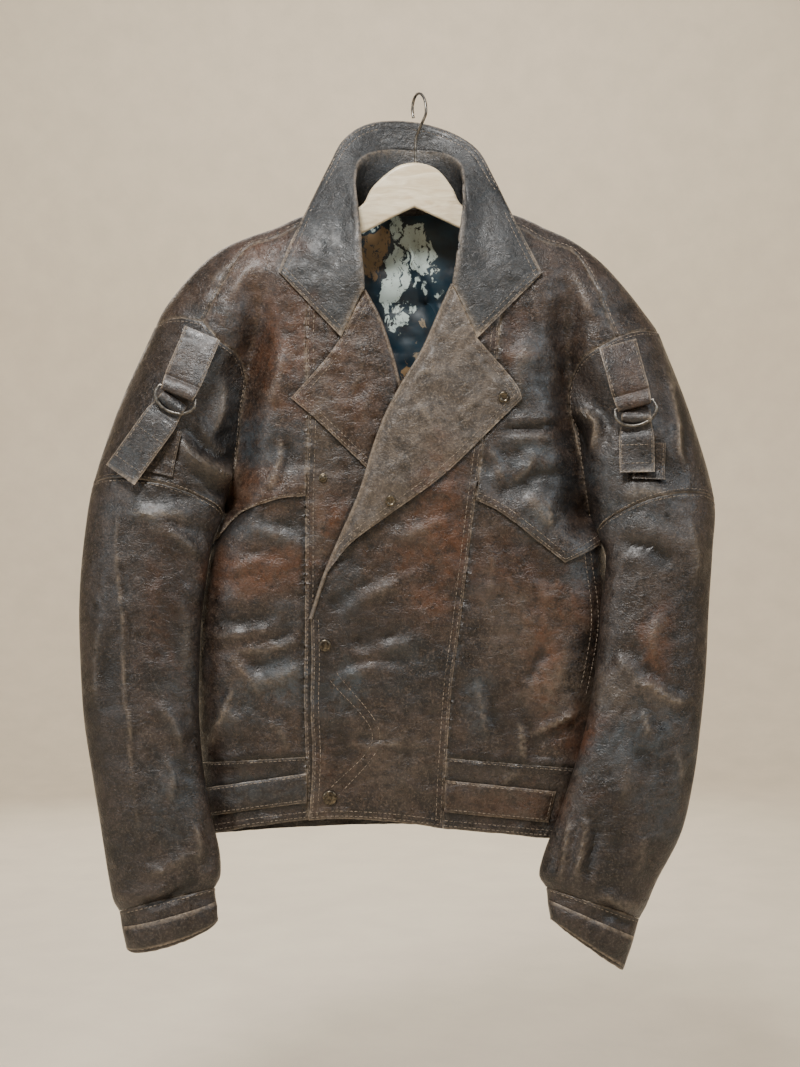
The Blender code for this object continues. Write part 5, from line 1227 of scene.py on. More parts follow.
def collar(g, c, body, mat):
    """The collar's leather: kept in front of what it lies on, softly uneven, with a rounded edge."""
    grid = collar_grid(g, c)
    cols, rows = grid.shape[:2]
    leaf = 3 * COLLAR_FINE
    limit = np.full((cols, rows), FAR)
    for j in range(cols):
        for r in range(leaf, rows):
            p = grid[j, r]
            y = surface_y(body, p[0], p[2], 4.0)
            if y is not None and y < 15:
                limit[j, r] = y - LIFT - 0.9 - TRIM / 2
    y = np.minimum(grid[:, :, 1], limit)
    for _ in range(3):
        soft = y.copy()
        around = y[:-2, leaf:-1] + y[2:, leaf:-1] + y[1:-1, leaf - 1:-2] + y[1:-1, leaf + 1:]
        soft[1:-1, leaf:-1] = 0.25 * around
        y = np.where(np.isnan(soft), y, np.minimum(soft, limit))
    grid[:, :, 1] = np.where(np.isnan(grid[:, :, 1]), np.nan, y)
    used = ~np.isnan(grid[:, :, 0])
    number = np.full((cols, rows), -1)
    number[used] = np.arange(used.sum())
    faces = []
    for j in range(cols - 1):
        for r in range(rows - 1):
            a, b, d, e = number[j, r], number[j, r + 1], number[j + 1, r + 1], number[j + 1, r]
            if min(a, b, d, e) >= 0:
                faces += [(a, b, d), (a, d, e)]
    v, f = grid[used], np.array(faces)
    n = corner_normals(v, f)
    if n[:, 1].mean() > 0:
        f, n = f[:, ::-1], -n
    p = v[:, [0, 2]]
    uneven = rumple(p, 30, 22, 1.1, 3.0) + rumple(p, 10, 9, 0.5, 6.0) + rumple(p, 14, 9, 0.7, 8.0, True)
    d = rim_distance(v, f)
    v = v + n * (uneven * smooth((d - 3) / 14))[:, None]
    v = v + n * (-0.4 * pressed(d))[:, None]
    n = corner_normals(v, f)
    fold_line = np.exp(-((np.arange(rows)[None, :] - 2 * COLLAR_FINE - 1) / 2.0) ** 2)
    worn = (0.35 * np.broadcast_to(fold_line, (cols, rows)))[used]
    blank = np.zeros(len(v))
    # the collar gets slate grey with painted cool sheen all over
    leather_piece("collar", v, n, f, -COLLAR_HALF, COLLAR_HALF, worn, blank, mat, "leather_dark", 0.95,
                  extra={"slate_sheen": blank + 0.4}, held="folded", rests=("leather_back",), round_off=1.8)
    tree = surface(v + n * COLLAR_HALF, f)
    paths = []
    for off in (NEAR_ROW, WIDE_ROW):
        columns = [grid[j][~np.isnan(grid[j, :, 0])][::-1] for j in range(cols)]
        lines = [[point_at(column, off) for column in columns][1:-1]]
        for first, step in ((0, 1), (cols - 1, -1)):
            lines.append([point_at(np.array([grid[first + step * k, r] for k in range(COLLAR_CORNER)]), off)
                          for r in range(rows - 2, 2 * COLLAR_FINE + 1, -1)])
        paths += [near_surface(tree, line) for line in lines]
    return paths


def point_at(line, off):
    """The point this far along a line of points."""
    return placed(line, run(line), off)


def near_surface(tree, line):
    """Points of a surface nearest to a line, with their normals."""
    hits = [tree.find_nearest(Vector(p)) for p in line]
    return np.array([np.array(h[0]) for h in hits]), np.array([np.array(h[1]) for h in hits])


# across a strap: the place as a share of its width, and how much of its thickness it has there
STRAP_SECTION = ((-0.5, 0.3), (-0.475, 0.75), (-0.43, 0.95), (-0.33, 1), (-0.18, 1), (0, 1), (0.18, 1),
                 (0.33, 1), (0.43, 0.95), (0.475, 0.75), (0.5, 0.3))


def ribbon(strap, path, width, thick, seed, rub):
    """A strap's body along a smooth path of (s, h, width share), its wear and the grid of its top."""
    path = dense(path, 6)
    n = turned(np.gradient(path[:, :2], axis=0))
    top, low, wear = [], [], []
    for k, ((s, h, share), (ns, nh)) in enumerate(zip(path, n)):
        for w, part in STRAP_SECTION:
            half = thick * 0.5 * part
            over = half + 0.35 * noise.noise(Vector((s / 9 + seed, w * 3, seed))) * part
            top.append(strap.at(s + ns * over, width * share * w, h + nh * over))
            low.append(strap.at(s - ns * half, width * share * w, h - nh * half))
            end = min(k, len(path) - 1 - k)
            wear.append(rub * (np.exp(-((0.5 - abs(w)) / 0.022) ** 2) + (0.5 if end == 0 else 0)))
    rows, cols = len(path), len(STRAP_SECTION)
    m = rows * cols
    faces = []
    for r in range(rows - 1):
        for c in range(cols - 1):
            a, b = r * cols + c, r * cols + c + 1
            d, e = b + cols, a + cols
            faces += [(a, d, b), (a, e, d), (a + m, b + m, d + m), (a + m, d + m, e + m)]
    used = {(q[k], q[(k + 1) % 3]) for q in faces for k in range(3)}
    for a, b in sorted(used):
        if (b, a) not in used and a < m and b < m:
            faces += [(b, a, a + m), (b, a + m, b + m)]
    return np.array(top + low), faces, np.clip(wear + wear, 0, 1), np.array(top).reshape(rows, cols, 3)


STRAP_TURN = RING_R + LIFT + TRIM / 2      # radius of the loop round its ring
STRAP_FOOT = 1.6                           # height of the strap's lower layer
# side, the loop's top seam, its fold at the ring, the tongue's end, the base strip's end and how far
# its start is moved aside, seed, share of slate grey with painted cool sheen
STRAPS = (("right", (-232, -249), (-259, -313), (-319, -399), (-281, -397), 4, 2.0, 0.35),
          ("left", (203, -260), (221, -326), (224, -396), (236, -403), 6, 5.0, 0.1))


def loop_path(length):
    """The loop: from its top seam to the ring, round it and back under itself."""
    r = STRAP_TURN
    path = [(1.0, 2.6, 1), (14, 5.2, 1), (length * 0.5, 6.6, 1), (length - 17, 6.2, 1),
            (length - 13.5, 5.0, 0.985), (length - 10, 6.8, 0.97), (length - 4, 2 * r + 2.2, 0.94)]
    path += [(length - 1 + r * math.sin(math.pi * k / 6),
              STRAP_FOOT + r + r * math.cos(math.pi * k / 6), 0.9) for k in range(1, 6)]
    return path + [(length - 1, STRAP_FOOT, 0.9), (length - 13, 1.5, 0.9), (length - 26, 1.5, 0.9)]


def tongue_path(length):
    """The tongue: out from under the ring, pinched once and then along the sleeve."""
    return [(0, 1.2, 0.80), (1.5, 4.4, 0.82), (6, 6.6, 0.84), (10.5, 4.8, 0.86), (13.5, 2.0, 0.88),
            (20, 1.8, 0.94), (26.5, 5.0, 1), (length * 0.7, 6.6, 1), (length, 8.3, 1)]


def base_path(length):
    """The base strip, flat on the sleeve."""
    return [(0, 1.2, 1), (length * 0.33, 1.2, 1), (length * 0.66, 1.2, 1), (length, 1.2, 1.05)]


def hang_straps(g, mats):
    """The shoulder straps: loop, ring, tongue and base strip on each upper sleeve."""
    rows = []
    for word, top, fold, end, low, aside, seed, slate_sheen in STRAPS:
        upper = Strap(g.tree, top, fold, STRAP_W)
        under = Strap(g.tree, np.array(fold) + upper.d * 40 + np.array((aside, 0)), low, 34)
        hanging = Strap(g.tree, np.array(fold) + upper.d * 6.5, end, STRAP_W * 0.9)
        length = upper.length
        # name, strap, path, width, thickness, leather, share of slate grey with painted sheen, rub, first
        # and last stitched row
        for name, strap, line, width, thick, kind, tone, rub, first, last in (
                ("loop", upper, loop_path(length), STRAP_W, TRIM, "brown", slate_sheen, 0.8, 0, 30),
                ("tongue", hanging, tongue_path(hanging.length), STRAP_W * 0.92, 2.2, "dark", slate_sheen + 0.15,
                 0.8, 30, -2),
                ("base", under, base_path(under.length), 33, 1.4, "dark", 0.0, 0.35, 0, None)):
            v, f, wear, topside = ribbon(strap, line, width, thick, seed, rub)
            f = outward(v, f)
            blank = np.zeros(len(v))
            shares = dye(v, corner_normals(v, np.array(f)), wear, blank, {"slate_sheen": blank + tone})
            # lighter where the tongue stands furthest forward: wear, and a painted highlight
            if name == "tongue":
                ahead = np.exp(-((v[:, 1] - v[:, 1].min()) / 1.4) ** 2)
                shares["worn"] = np.clip(shares["worn"] + 0.5 * ahead, 0, 1)
            node = "strap_" + name + "_" + word
            obj = make("leather_" + node, v, f, shares, mats[kind], [node])
            lines = [topside[first:last, k] for k in (2, 8)]
            lines += [topside[-1 - back, 1:10] for back in (3, 9)] if name == "tongue" else []
            rows += [(line, np.tile(AHEAD, (len(line), 1))) for line in lines]
        high = STRAP_FOOT + STRAP_TURN
        wire = [upper.at(length - 1, w, high) for w in (-20.6, -14, -7, 0, 7, 14, 20.6)]
        wire += [upper.at(length + 4 + 17 * math.sin(math.pi * k / 26), 22.6 * math.cos(math.pi * k / 26),
                          high + 1.4) for k in range(1, 26)]
        v, f = tube(wire, RING_R + 0.3, 14, True)
        make("ring_" + word, v, outward(v, f), {}, mats["steel"], ["d_ring_" + word])
    return rows


# the hanger's board, (x, z): over the top, then back along each arm's underside
HANGER_TOP = [(-185, -164), (-176, -154.5), (-156, -145), (-131, -133), (-98, -125), (-66, -116),
              (-55, -98), (-41, -84), (-26, -74), (-9, -71), (8, -75), (17, -81), (30, -98), (40, -116),
              (70, -124.5), (101, -132.5), (127, -145.5), (147, -156), (156, -162)]
HANGER_LOW_L = [(156, -162), (154, -171), (146, -174), (127, -167), (101, -158), (70, -149), (40, -141),
                (23, -133), (-1, -122), (-10, -118)]
HANGER_LOW_R = [(-10, -118), (-19, -122), (-38, -131.5), (-67, -146), (-98, -153), (-131, -161),
                (-156, -169), (-171, -174), (-182, -171), (-185, -164)]
BOARD_ROUND = 3.2      # radius of the board's rounded edge


def hanger(mat):
    """The wooden board with rounded edges."""
    edge = np.vstack([dense(p, 6)[:-1] for p in (HANGER_TOP, HANGER_LOW_L, HANGER_LOW_R)])
    n = turned(np.roll(edge, -1, axis=0) - np.roll(edge, 1, axis=0))
    area = (edge[:, 0] * np.roll(edge[:, 1], -1) - np.roll(edge[:, 0], -1) * edge[:, 1]).sum()
    inward = n if area > 0 else -n
    turn = [math.pi / 2 * k / 5 for k in range(6)]
    layers = [(BOARD_ROUND * (1 - math.sin(a)), -BOARD / 2 + BOARD_ROUND * (1 - math.cos(a))) for a in turn]
    layers += [(a, -b) for a, b in layers[::-1]]
    verts = [(p[0], y, p[1]) for pull, y in layers for p in edge + inward * pull]
    faces = bands(len(layers), len(edge))
    last = (len(layers) - 1) * len(edge)
    faces = [f[::-1] for f in faces] if area > 0 else faces
    flat = edge + inward * layers[0][0]
    for f in tessellate_polygon([[Vector((p[0], p[1], 0)) for p in flat]]):
        a, b, c = (flat[i] for i in f)
        f = f if (b[0] - a[0]) * (c[1] - a[1]) > (b[1] - a[1]) * (c[0] - a[0]) else f[::-1]
        faces += [tuple(f), tuple(i + last for i in f[::-1])]
    verts = np.array(verts)
    make("hanger_board", verts, outward(verts, faces), {}, mat, ["hanger_wood"])


HOOK_STEM = [(-9, 0, -70.6), (-9, 0, -58), (-8.5, 0, -46), (-5, -5, -36), (-1, -11.5, -27)]
HOOK_MID, HOOK_BEND = (-5.0, -15.5), 17.0            # (x, z) and radius of the hook's bow
HOOK_TURN = (-0.42, 0.91)                            # the bow's direction seen from above, (x, y)


def hook(mat):
    """The wire hook: a stem and a bow that is turned away from the viewer's plane."""
    path = list(HOOK_STEM)
    for k in range(13):
        a = math.radians(195 - 225 * k / 12)
        u = HOOK_BEND * math.cos(a)
        high = HOOK_BEND * math.sin(a)
        path.append((HOOK_MID[0] + HOOK_TURN[0] * u, HOOK_TURN[1] * u, HOOK_MID[1] + high))
    v, f = tube(dense(path, 6), HOOK_R, 16)
    make("hook_wire", v, outward(v, f), {}, mat, ["hanger_hook"])


def snap(name, tree, x, z, rings, mat, sides=40):
    """A turned press stud standing on the leather; rings are (radius, height)."""
    around = [(dx, dz) for dx in (-4, 0, 4) for dz in (-4, 0, 4)]
    ys = np.array([surface_y(tree, x + dx, z + dz, 1.5) for dx, dz in around])
    spots = np.array([(dx, dz, 1) for dx, dz in around])
    slope_x, slope_z, level = np.linalg.lstsq(spots, ys, rcond=None)[0]
    over = max(slope_x * dx + slope_z * dz + level - y for (dx, dz), y in zip(around, ys))
    centre = Vector((x, level - 0.3 - 0.4 * over, z))
    out = Vector((slope_x, -1, slope_z)).normalized()
    side = Vector((1, slope_x, 0)).normalized()
    up = out.cross(side)
    rings = dense(rings, 5)
    turn = [2 * math.pi * k / sides for k in range(sides)]
    verts = [centre + out * height + side * (radius * math.cos(a)) + up * (radius * math.sin(a))
             for radius, height in rings for a in turn]
    verts = np.array([tuple(q) for q in verts])
    faces = outward(verts, capped(len(rings), sides))
    make("stud_" + name[5:], verts, faces, {}, mat, [name], sharp=60)


class Shader:
    """A material under construction: short calls for the nodes it needs."""

    def __init__(self, name, **values):
        self.mat = bpy.data.materials.new(name)
        self.mat.use_nodes = True
        self.tree = self.mat.node_tree
        self.bsdf = self.tree.nodes["Principled BSDF"]
        for key, value in values.items():
            self.bsdf.inputs[key.replace("_", " ")].default_value = value
        self.place = self.tree.nodes.new("ShaderNodeTexCoord").outputs["Object"]

    def add(self, kind, inputs, **settings):
        """A node whose inputs are links or values."""
        node = self.tree.nodes.new("ShaderNode" + kind)
        for key, value in settings.items():
            setattr(node, key, value)
        for key, value in inputs.items():
            if isinstance(value, bpy.types.NodeSocket):
                self.tree.links.new(value, node.inputs[key])
            else:
                node.inputs[key].default_value = value
        return node

    def stretch(self, x, y, z, lean=0.0, place=None):
        """Coordinates scaled along each axis, and turned about y."""
        return self.add("Mapping", {"Vector": place or self.place, "Rotation": (0, lean, 0),
                                    "Scale": (x, y, z)}).outputs[0]

    def noise(self, scale, detail=3.0, rough=0.55, warp=0.0, place=None):
        return self.add("TexNoise", {"Vector": place or self.place, "Scale": scale, "Detail": detail,
                                     "Roughness": rough, "Distortion": warp}).outputs["Fac"]

    def cells(self, scale, feature="F1", place=None):
        return self.add("TexVoronoi", {"Vector": place or self.place, "Scale": scale}, feature=feature)

    def share(self, name):
        return self.add("Attribute", {}, attribute_name=name).outputs["Fac"]

    def math(self, how, a, b):
        return self.add("Math", {0: a, 1: b}, operation=how).outputs[0]

    def times(self, a, b):
        """A product of two shares."""
        return self.math("MULTIPLY", a, b)

    def spread(self, value, low, high, start=0.0, end=1.0):
        """The value moved from one range to another, and held within it."""
        return self.add("MapRange", {"Value": value, "From Min": low, "From Max": high, "To Min": start,
                                     "To Max": end}).outputs[0]

    def mix(self, share, a, b):
        """Colour a with a share of colour b over it."""
        node = self.tree.nodes.new("ShaderNodeMix")
        node.data_type = "RGBA"
        for key, value in ((0, share), (6, a), (7, b)):
            if isinstance(value, bpy.types.NodeSocket):
                self.tree.links.new(value, node.inputs[key])
            else:
                node.inputs[key].default_value = value if key == 0 else (*value, 1)
        return node.outputs[2]

    def bump(self, height, strength, depth, normal=None):
        inputs = {"Height": height, "Strength": strength, "Distance": depth}
        if normal is not None:
            inputs["Normal"] = normal
        return self.add("Bump", inputs).outputs[0]

    def finish(self, colour=None, rough=None, normal=None):
        for key, value in (("Base Color", colour), ("Roughness", rough), ("Normal", normal)):
            if value is not None:
                self.tree.links.new(value, self.bsdf.inputs[key])
        return self.mat


# colours are linear red, green and blue
# the slate colour is partly the leather's grey and partly painted cool sheen
RUST_DYE, SLATE_SHEEN_DYE, TAN_DYE = (0.108, 0.040, 0.016), (0.040, 0.050, 0.058), (0.120, 0.094, 0.072)
# the second colour is near black: painted shade, laid in fold valleys, beside overlapping edges and along
# the edges of pieces that lie under others
WORN_DYE, SHADE_PAINT = (0.33, 0.26, 0.19), (0.0045, 0.0035, 0.003)
# each leather: its deep, body and light colours and its roughness
LEATHERS = {
    "brown": ((0.0070, 0.0048, 0.0040), (0.046, 0.0295, 0.0215), (0.125, 0.091, 0.068), 0.36),
    "dark": ((0.0060, 0.0046, 0.0041), (0.036, 0.0255, 0.0205), (0.105, 0.081, 0.065), 0.36),
    "rust": ((0.0100, 0.0062, 0.0046), (0.060, 0.0350, 0.0235), (0.150, 0.105, 0.075), 0.36),
    "tan": ((0.026, 0.0205, 0.0165), (0.100, 0.079, 0.063), (0.22, 0.178, 0.140), 0.43),
    "collar": ((0.0065, 0.0058, 0.0054), (0.029, 0.0260, 0.0245), (0.085, 0.076, 0.069), 0.40),
}


def leather(name, deep, body, light, rough):
    """Old leather: mottled dye, patches of other colours, painted cool sheen and painted shade, rubbed
    edges, grain and fine wrinkles.
    """
    s = Shader(name, Specular_IOR_Level=0.44, Coat_Weight=0.06, Coat_Roughness=0.2)
    cloud = s.noise(16, 4, 0.62, 0.5)
    mottle = s.noise(62, 6, 0.72, 0.7)
    blend = s.math("ADD", s.times(cloud, 0.42), s.times(mottle, 0.58))
    colour = s.mix(s.spread(blend, 0.41, 0.60), deep, body)
    colour = s.mix(s.spread(s.noise(430, 4, 0.7), 0.50, 0.70, 0, 0.65), colour, light)
    # the slate share mixes in a cool grey that is partly painted sheen
    for key, dye_colour, scale, most in (("rust", RUST_DYE, 52, 0.68), ("slate_sheen", SLATE_SHEEN_DYE, 64, 0.95),
                                         ("tan", TAN_DYE, 70, 0.85)):
        broken = s.spread(s.noise(scale, 5, 0.72, 0.9), 0.38, 0.60, 0.15, most)
        colour = s.mix(s.times(s.share(key), broken), colour, dye_colour)
    # darker patches; those in the armpits and crease hollows are painted shade
    colour = s.mix(s.times(s.share("dark"), 0.75), colour, deep)
    colour = s.mix(s.times(s.spread(s.noise(120, 5, 0.74), 0.49, 0.34), 0.75), colour, deep)
    scuff = s.noise(210, 5, 0.75, 0.5, s.stretch(1.0, 1.0, 0.5))
    colour = s.mix(s.spread(scuff, 0.60, 0.70, 0, 0.4), colour, light)
    # painted shade: darkened towards near black by the hollow share
    colour = s.mix(s.times(s.share("hollow"), 0.78), colour, SHADE_PAINT)
    rubbed = s.times(s.share("worn"), s.spread(s.noise(230, 4, 0.7), 0.38, 0.58, 0.25, 1.0))
    colour = s.mix(rubbed, colour, WORN_DYE)
    shine = s.spread(s.noise(95, 5, 0.68), 0.34, 0.66, rough - 0.1, rough + 0.18)
    shine = s.math("ADD", shine, s.times(rubbed, 0.16))
    wrinkle = s.noise(120, 5, 0.66, 1.6, s.stretch(0.8, 1.0, 1.3))
    pebble = s.cells(560).outputs["Distance"]
    crack = s.cells(115, "DISTANCE_TO_EDGE").outputs["Distance"]
    normal = s.bump(wrinkle, 0.6, 0.0016)
    normal = s.bump(s.spread(crack, 0.0, 0.10), 0.28, 0.0005, normal)
    normal = s.bump(pebble, 0.5, 0.0004, normal)
    return s.finish(colour, shine, normal)


def thread(name):
    """Dull, faded thread."""
    s = Shader(name, Specular_IOR_Level=0.3)
    colour = s.mix(s.spread(s.noise(300, 4), 0.38, 0.62), (0.070, 0.053, 0.040), (0.32, 0.26, 0.20))
    return s.finish(colour, s.spread(s.noise(400), 0.3, 0.7, 0.6, 0.8),
                    s.bump(s.noise(2600, 2), 0.5, 0.0002))


def print_cloth(name):
    """Navy satin with a loose print: pale and tan shapes of brushed strokes."""
    s = Shader(name, Specular_IOR_Level=0.5, Sheen_Weight=0.15)
    warp = s.add("TexNoise", {"Vector": s.place, "Scale": 30.0, "Detail": 5.0}).outputs["Color"]
    warp = s.add("VectorMath", {0: warp, 3: 0.045}, operation="SCALE").outputs[0]
    moved = s.add("VectorMath", {0: s.place, 1: warp}, operation="ADD").outputs[0]
    lean = s.stretch(1.0, 1.0, 0.6, 0.7, moved)
    tone = s.add("SeparateColor", {0: s.cells(34, "F1", lean).outputs["Color"]})
    rim = s.cells(34, "DISTANCE_TO_EDGE", lean).outputs["Distance"]
    strokes = s.noise(260, 6, 0.7, 0.5, s.stretch(1.0, 1.0, 0.14, 0.5, moved))
    frayed = s.spread(s.math("ADD", rim, s.times(strokes, 0.34)), 0.215, 0.235)
    ink = s.times(s.spread(strokes, 0.42, 0.47), frayed)
    solid = s.times(s.spread(s.noise(50, 5, 0.6), 0.50, 0.53), frayed)
    pale = s.times(s.spread(tone.outputs[0], 0.58, 0.59), s.math("MAXIMUM", ink, solid))
    brown = s.times(s.spread(tone.outputs[1], 0.56, 0.57), ink)
    navy = s.mix(s.spread(s.noise(40, 5), 0.35, 0.65), (0.0035, 0.009, 0.016), (0.008, 0.030, 0.048))
    colour = s.mix(pale, s.mix(brown, navy, (0.20, 0.125, 0.06)), (0.46, 0.55, 0.52))
    return s.finish(colour, s.spread(s.noise(60), 0.3, 0.7, 0.28, 0.46),
                    s.bump(s.noise(1400, 2), 0.15, 0.0002))


def wood(name):
    """Pale varnished wood with its grain along x."""
    s = Shader(name, Coat_Weight=0.25, Coat_Roughness=0.25, Specular_IOR_Level=0.5)
    rings = s.noise(120, 4, 0.6, 1.4, s.stretch(0.16, 1.0, 1.0))
    fibre = s.noise(1500, 3, 0.6, 0.0, s.stretch(0.05, 1.0, 1.0))
    colour = s.mix(s.spread(rings, 0.36, 0.66), (0.62, 0.50, 0.32), (0.84, 0.74, 0.54))
    colour = s.mix(s.spread(fibre, 0.5, 0.75, 0, 0.4), colour, (0.42, 0.28, 0.15))
    colour = s.mix(s.spread(s.noise(24, 4), 0.52, 0.7, 0, 0.35), colour, (0.40, 0.29, 0.18))
    return s.finish(colour, s.spread(rings, 0.3, 0.7, 0.34, 0.5), s.bump(fibre, 0.2, 0.0003))


def metal(name, deep, bright, rough):
    """Aged metal: a dull skin with brighter rubbed places."""
    s = Shader(name, Metallic=0.9)
    rub = s.noise(240, 5, 0.7)
    colour = s.mix(s.spread(rub, 0.40, 0.66), deep, bright)
    return s.finish(colour, s.spread(s.noise(600, 4), 0.3, 0.7, rough - 0.08, rough + 0.16),
                    s.bump(s.noise(900, 3), 0.25, 0.0002))


def plain(name, colour):
    """Plain plaster, a little uneven."""
    s = Shader(name, Specular_IOR_Level=0.2)
    low = tuple(0.93 * c for c in colour)
    return s.finish(s.mix(s.spread(s.noise(9, 6, 0.6), 0.35, 0.65), low, colour), None,
                    s.bump(s.noise(160, 5, 0.6), 0.2, 0.002))


EYE = (-0.0202, -1.5, -0.4604)    # the camera, metres
FRAME_HIGH = 1.12035              # height of the picture where the coat hangs, metres
SENSOR = 24.0                     # height of the camera's sensor, millimetres
FLOOR_Z = -1.25
ROOM_R, SWEEP_R = 4.6, 1.6        # the round studio's radius and that of its curved foot
ROOM_TOP, ROOM_SIDES = 3.0, 72
COAT_MID = Vector((-0.02, 0, -0.42))
# name, place, size, power, colour, and where it points
LIGHTS = [("key", (-0.40, -1.35, 1.30), 0.45, 66, (1.0, 0.98, 0.95), COAT_MID),
          ("cool", (1.5, -1.3, 0.4), 0.7, 15, (0.80, 0.91, 1.0), COAT_MID),
          ("low", (-1.6, -1.2, -0.2), 0.7, 9, (0.84, 0.93, 1.0), COAT_MID),
          ("wall", (0.0, 2.2, 2.2), 1.6, 62, (1.0, 0.96, 0.90), Vector((0, 4.6, -0.4))),
          ("room", (0.0, 0.0, 3.3), 3.0, 46, (1.0, 0.97, 0.93), Vector((0, 0, 0))),
          ("behind", (-0.3, 2.4, 0.3), 2.2, 26, (1.0, 0.98, 0.95), COAT_MID)]


def placed_object(name, data, place=(0, 0, 0), turn=(0, 0, 0)):
    """A new object in the scene."""
    obj = bpy.data.objects.new(name, data)
    obj.location, obj.rotation_euler = place, turn
    bpy.context.scene.collection.objects.link(obj)
    return obj


def studio():
    """A pale floor that sweeps up into a round wall, soft lights and the camera at the photo's view."""
    sweep = [(1.5, FLOOR_Z), (ROOM_R - SWEEP_R, FLOOR_Z)]
    for k in range(1, 13):
        a = math.pi / 2 * k / 12
        sweep.append((ROOM_R - SWEEP_R + SWEEP_R * math.sin(a), FLOOR_Z + SWEEP_R - SWEEP_R * math.cos(a)))
    sweep.append((ROOM_R, ROOM_TOP))
    sides = ROOM_SIDES
    verts = [(r * math.cos(2 * math.pi * k / sides), r * math.sin(2 * math.pi * k / sides), z)
             for r, z in sweep for k in range(sides)] + [(0.0, 0.0, FLOOR_Z)]
    faces = [(len(verts) - 1, k, (k + 1) % sides) for k in range(sides)]
    for q in range(len(sweep) - 1):
        for k in range(sides):
            a, b = q * sides + k, q * sides + (k + 1) % sides
            faces.append((a, a + sides, b + sides, b))
    mesh = bpy.data.meshes.new("backdrop")
    mesh.from_pydata(verts, [], faces)
    mesh.materials.append(plain("pale_plaster", (0.80, 0.70, 0.55)))
    mesh.shade_smooth()
    placed_object("backdrop", mesh)
    for name, place, size, power, colour, aim in LIGHTS:
        light = bpy.data.lights.new(name, "AREA")
        light.size, light.energy, light.color = size, power, colour
        placed_object(name, light, place, (aim - Vector(place)).to_track_quat("-Z", "Y").to_euler())
    world = bpy.data.worlds.new("sky")
    world.use_nodes = True
    colour, strength = world.node_tree.nodes["Background"].inputs[:2]
    colour.default_value, strength.default_value = (0.86, 0.90, 0.95, 1), 0.12
    bpy.context.scene.world = world
    lens = bpy.data.cameras.new("camera")
    lens.sensor_fit, lens.sensor_height = "VERTICAL", SENSOR
    lens.lens = SENSOR * -EYE[1] / FRAME_HIGH
    bpy.context.scene.camera = placed_object("camera", lens, EYE, (math.pi / 2, 0, 0))


# how much each piece's edge is rubbed; a low edge lies under its neighbour and gets a line of painted shade
EDGES = [("front_lower", 0.1), ("waistband_back", 0.5), ("waistband", 0.55), ("front_centre", 0.85),
         ("chest", 0.7), ("back", 0.45), ("sleeve_upper", 0.75), ("sleeve_lower", 0.3), ("cuff", 0.7)]
# which leather a piece is of; the others are dark
TONES = {"chest_right": "rust", "lapel_right": "rust", "lapel_left": "tan", "back": "brown",
         "chest_left": "brown", "front_lower_left": "brown", "front_lower_right": "brown",
         "front_centre_left": "brown", "front_centre_right": "brown", "waist_tab_left": "brown"}
# pieces that aren't walls of the skin itself
LAID = {"waist_tab_right", "waist_tab_left", "lapel_right", "lapel_left", "back_lining"}
# the lines where another piece's edge lies over a panel; painted shadow is laid on the panel beside them
SHADED = {"front_lower_right": ("flap_r", "waist_r", "panel_r"),
          "front_lower_left": ("flap_l", "waist_l", "panel_l"),
          "front_centre_left": ("lapel_l1", "lapel_l2", "roll_l"),
          "front_centre_right": ("lapel_r1", "lapel_r2", "free", "roll_l"),
          "chest_left": ("lapel_l0", "lapel_l1", "lapel_l2", "panel_l"),
          "chest_right": ("lapel_r1", "lapel_r2"),
          "waistband_right": ("tab_r0", "tab_r1", "waist_r"),
          "waistband_left": ("tab_l0", "tab_l1", "tab_l2", "waist_l")}
COLLAR_SHADES = ("back", "chest_left", "chest_right", "front_centre_left", "front_centre_right")
# how a lapel lies: (how far its height falls, its most, its height at the free edge)
LEAF = {"r": (50, 2.6, 0.9), "l": (60, 4.2, 1.2)}
BEAD = 2.1             # radius of a lapel's rolled fold
# turned profiles of the press studs: (radius, height)
CAP = [(6.0, 0), (6.6, 0.6), (6.4, 1.6), (5.0, 2.4), (2.5, 2.8), (0.2, 2.9)]
SOCKET = [(5.6, 0), (5.9, 0.5), (5.6, 1.5), (4.3, 1.9), (3.0, 1.2), (1.6, 1.0), (0.2, 0.9)]
STUD = [(5.0, 0), (5.2, 0.5), (4.6, 1.2), (2.4, 1.5), (2.3, 3.0), (1.5, 3.6), (0.2, 3.7)]
# name, x, z, profile and how wide it is against the profile
STUDS = [("snap_cap_upper", -104, -578, CAP, 0.95), ("snap_cap_lower", -99, -738, CAP, 1.15),
         ("snap_socket_upper", 84, -317, SOCKET, 1), ("snap_socket_lower", -35, -426, SOCKET, 1),
         ("snap_stud", -106, -402, STUD, 0.9)]
# rows of stitches that follow no edge
MORE_ROWS = {"front_centre_left": [[(-99, -614), (-54, -675), (-100, -730)],
                                   [(-92, -606), (-46, -675), (-93, -740)]],
             "front_lower_left": [[(175, -480), (183, -550), (177, -597), (170, -630)],
                                  [(169, -484), (176, -550), (170, -596), (163, -628)]],
             "lapel_right": [[(25, -247), (40, -280)]]}
SIDES = (("right", "r"), ("left", "l"))


def leather_of(name, mats):
    """The material and the slot of a piece's leather."""
    kind = TONES.get(name, "dark")
    return mats[kind], "leather_" + kind


def leaf_height(d, reach, most, rest):
    """Height of a folded leaf over its panel: up from the fold, then down to its free edge."""
    return LIFT + most * smooth(d / 8) - (most - rest) * smooth((d - 12) / reach)


def flap_height(p, tuck):
    """How far a chest panel stands over the panel below it."""
    line = tuck[np.argsort(tuck[:, 0])]
    above = p[:, 1] > np.interp(p[:, 0], line[:, 0], line[:, 1])
    return (WALL + LIFT + 0.5) * (1 - smooth(np.where(above, distance(p, tuck), 0) / 26))


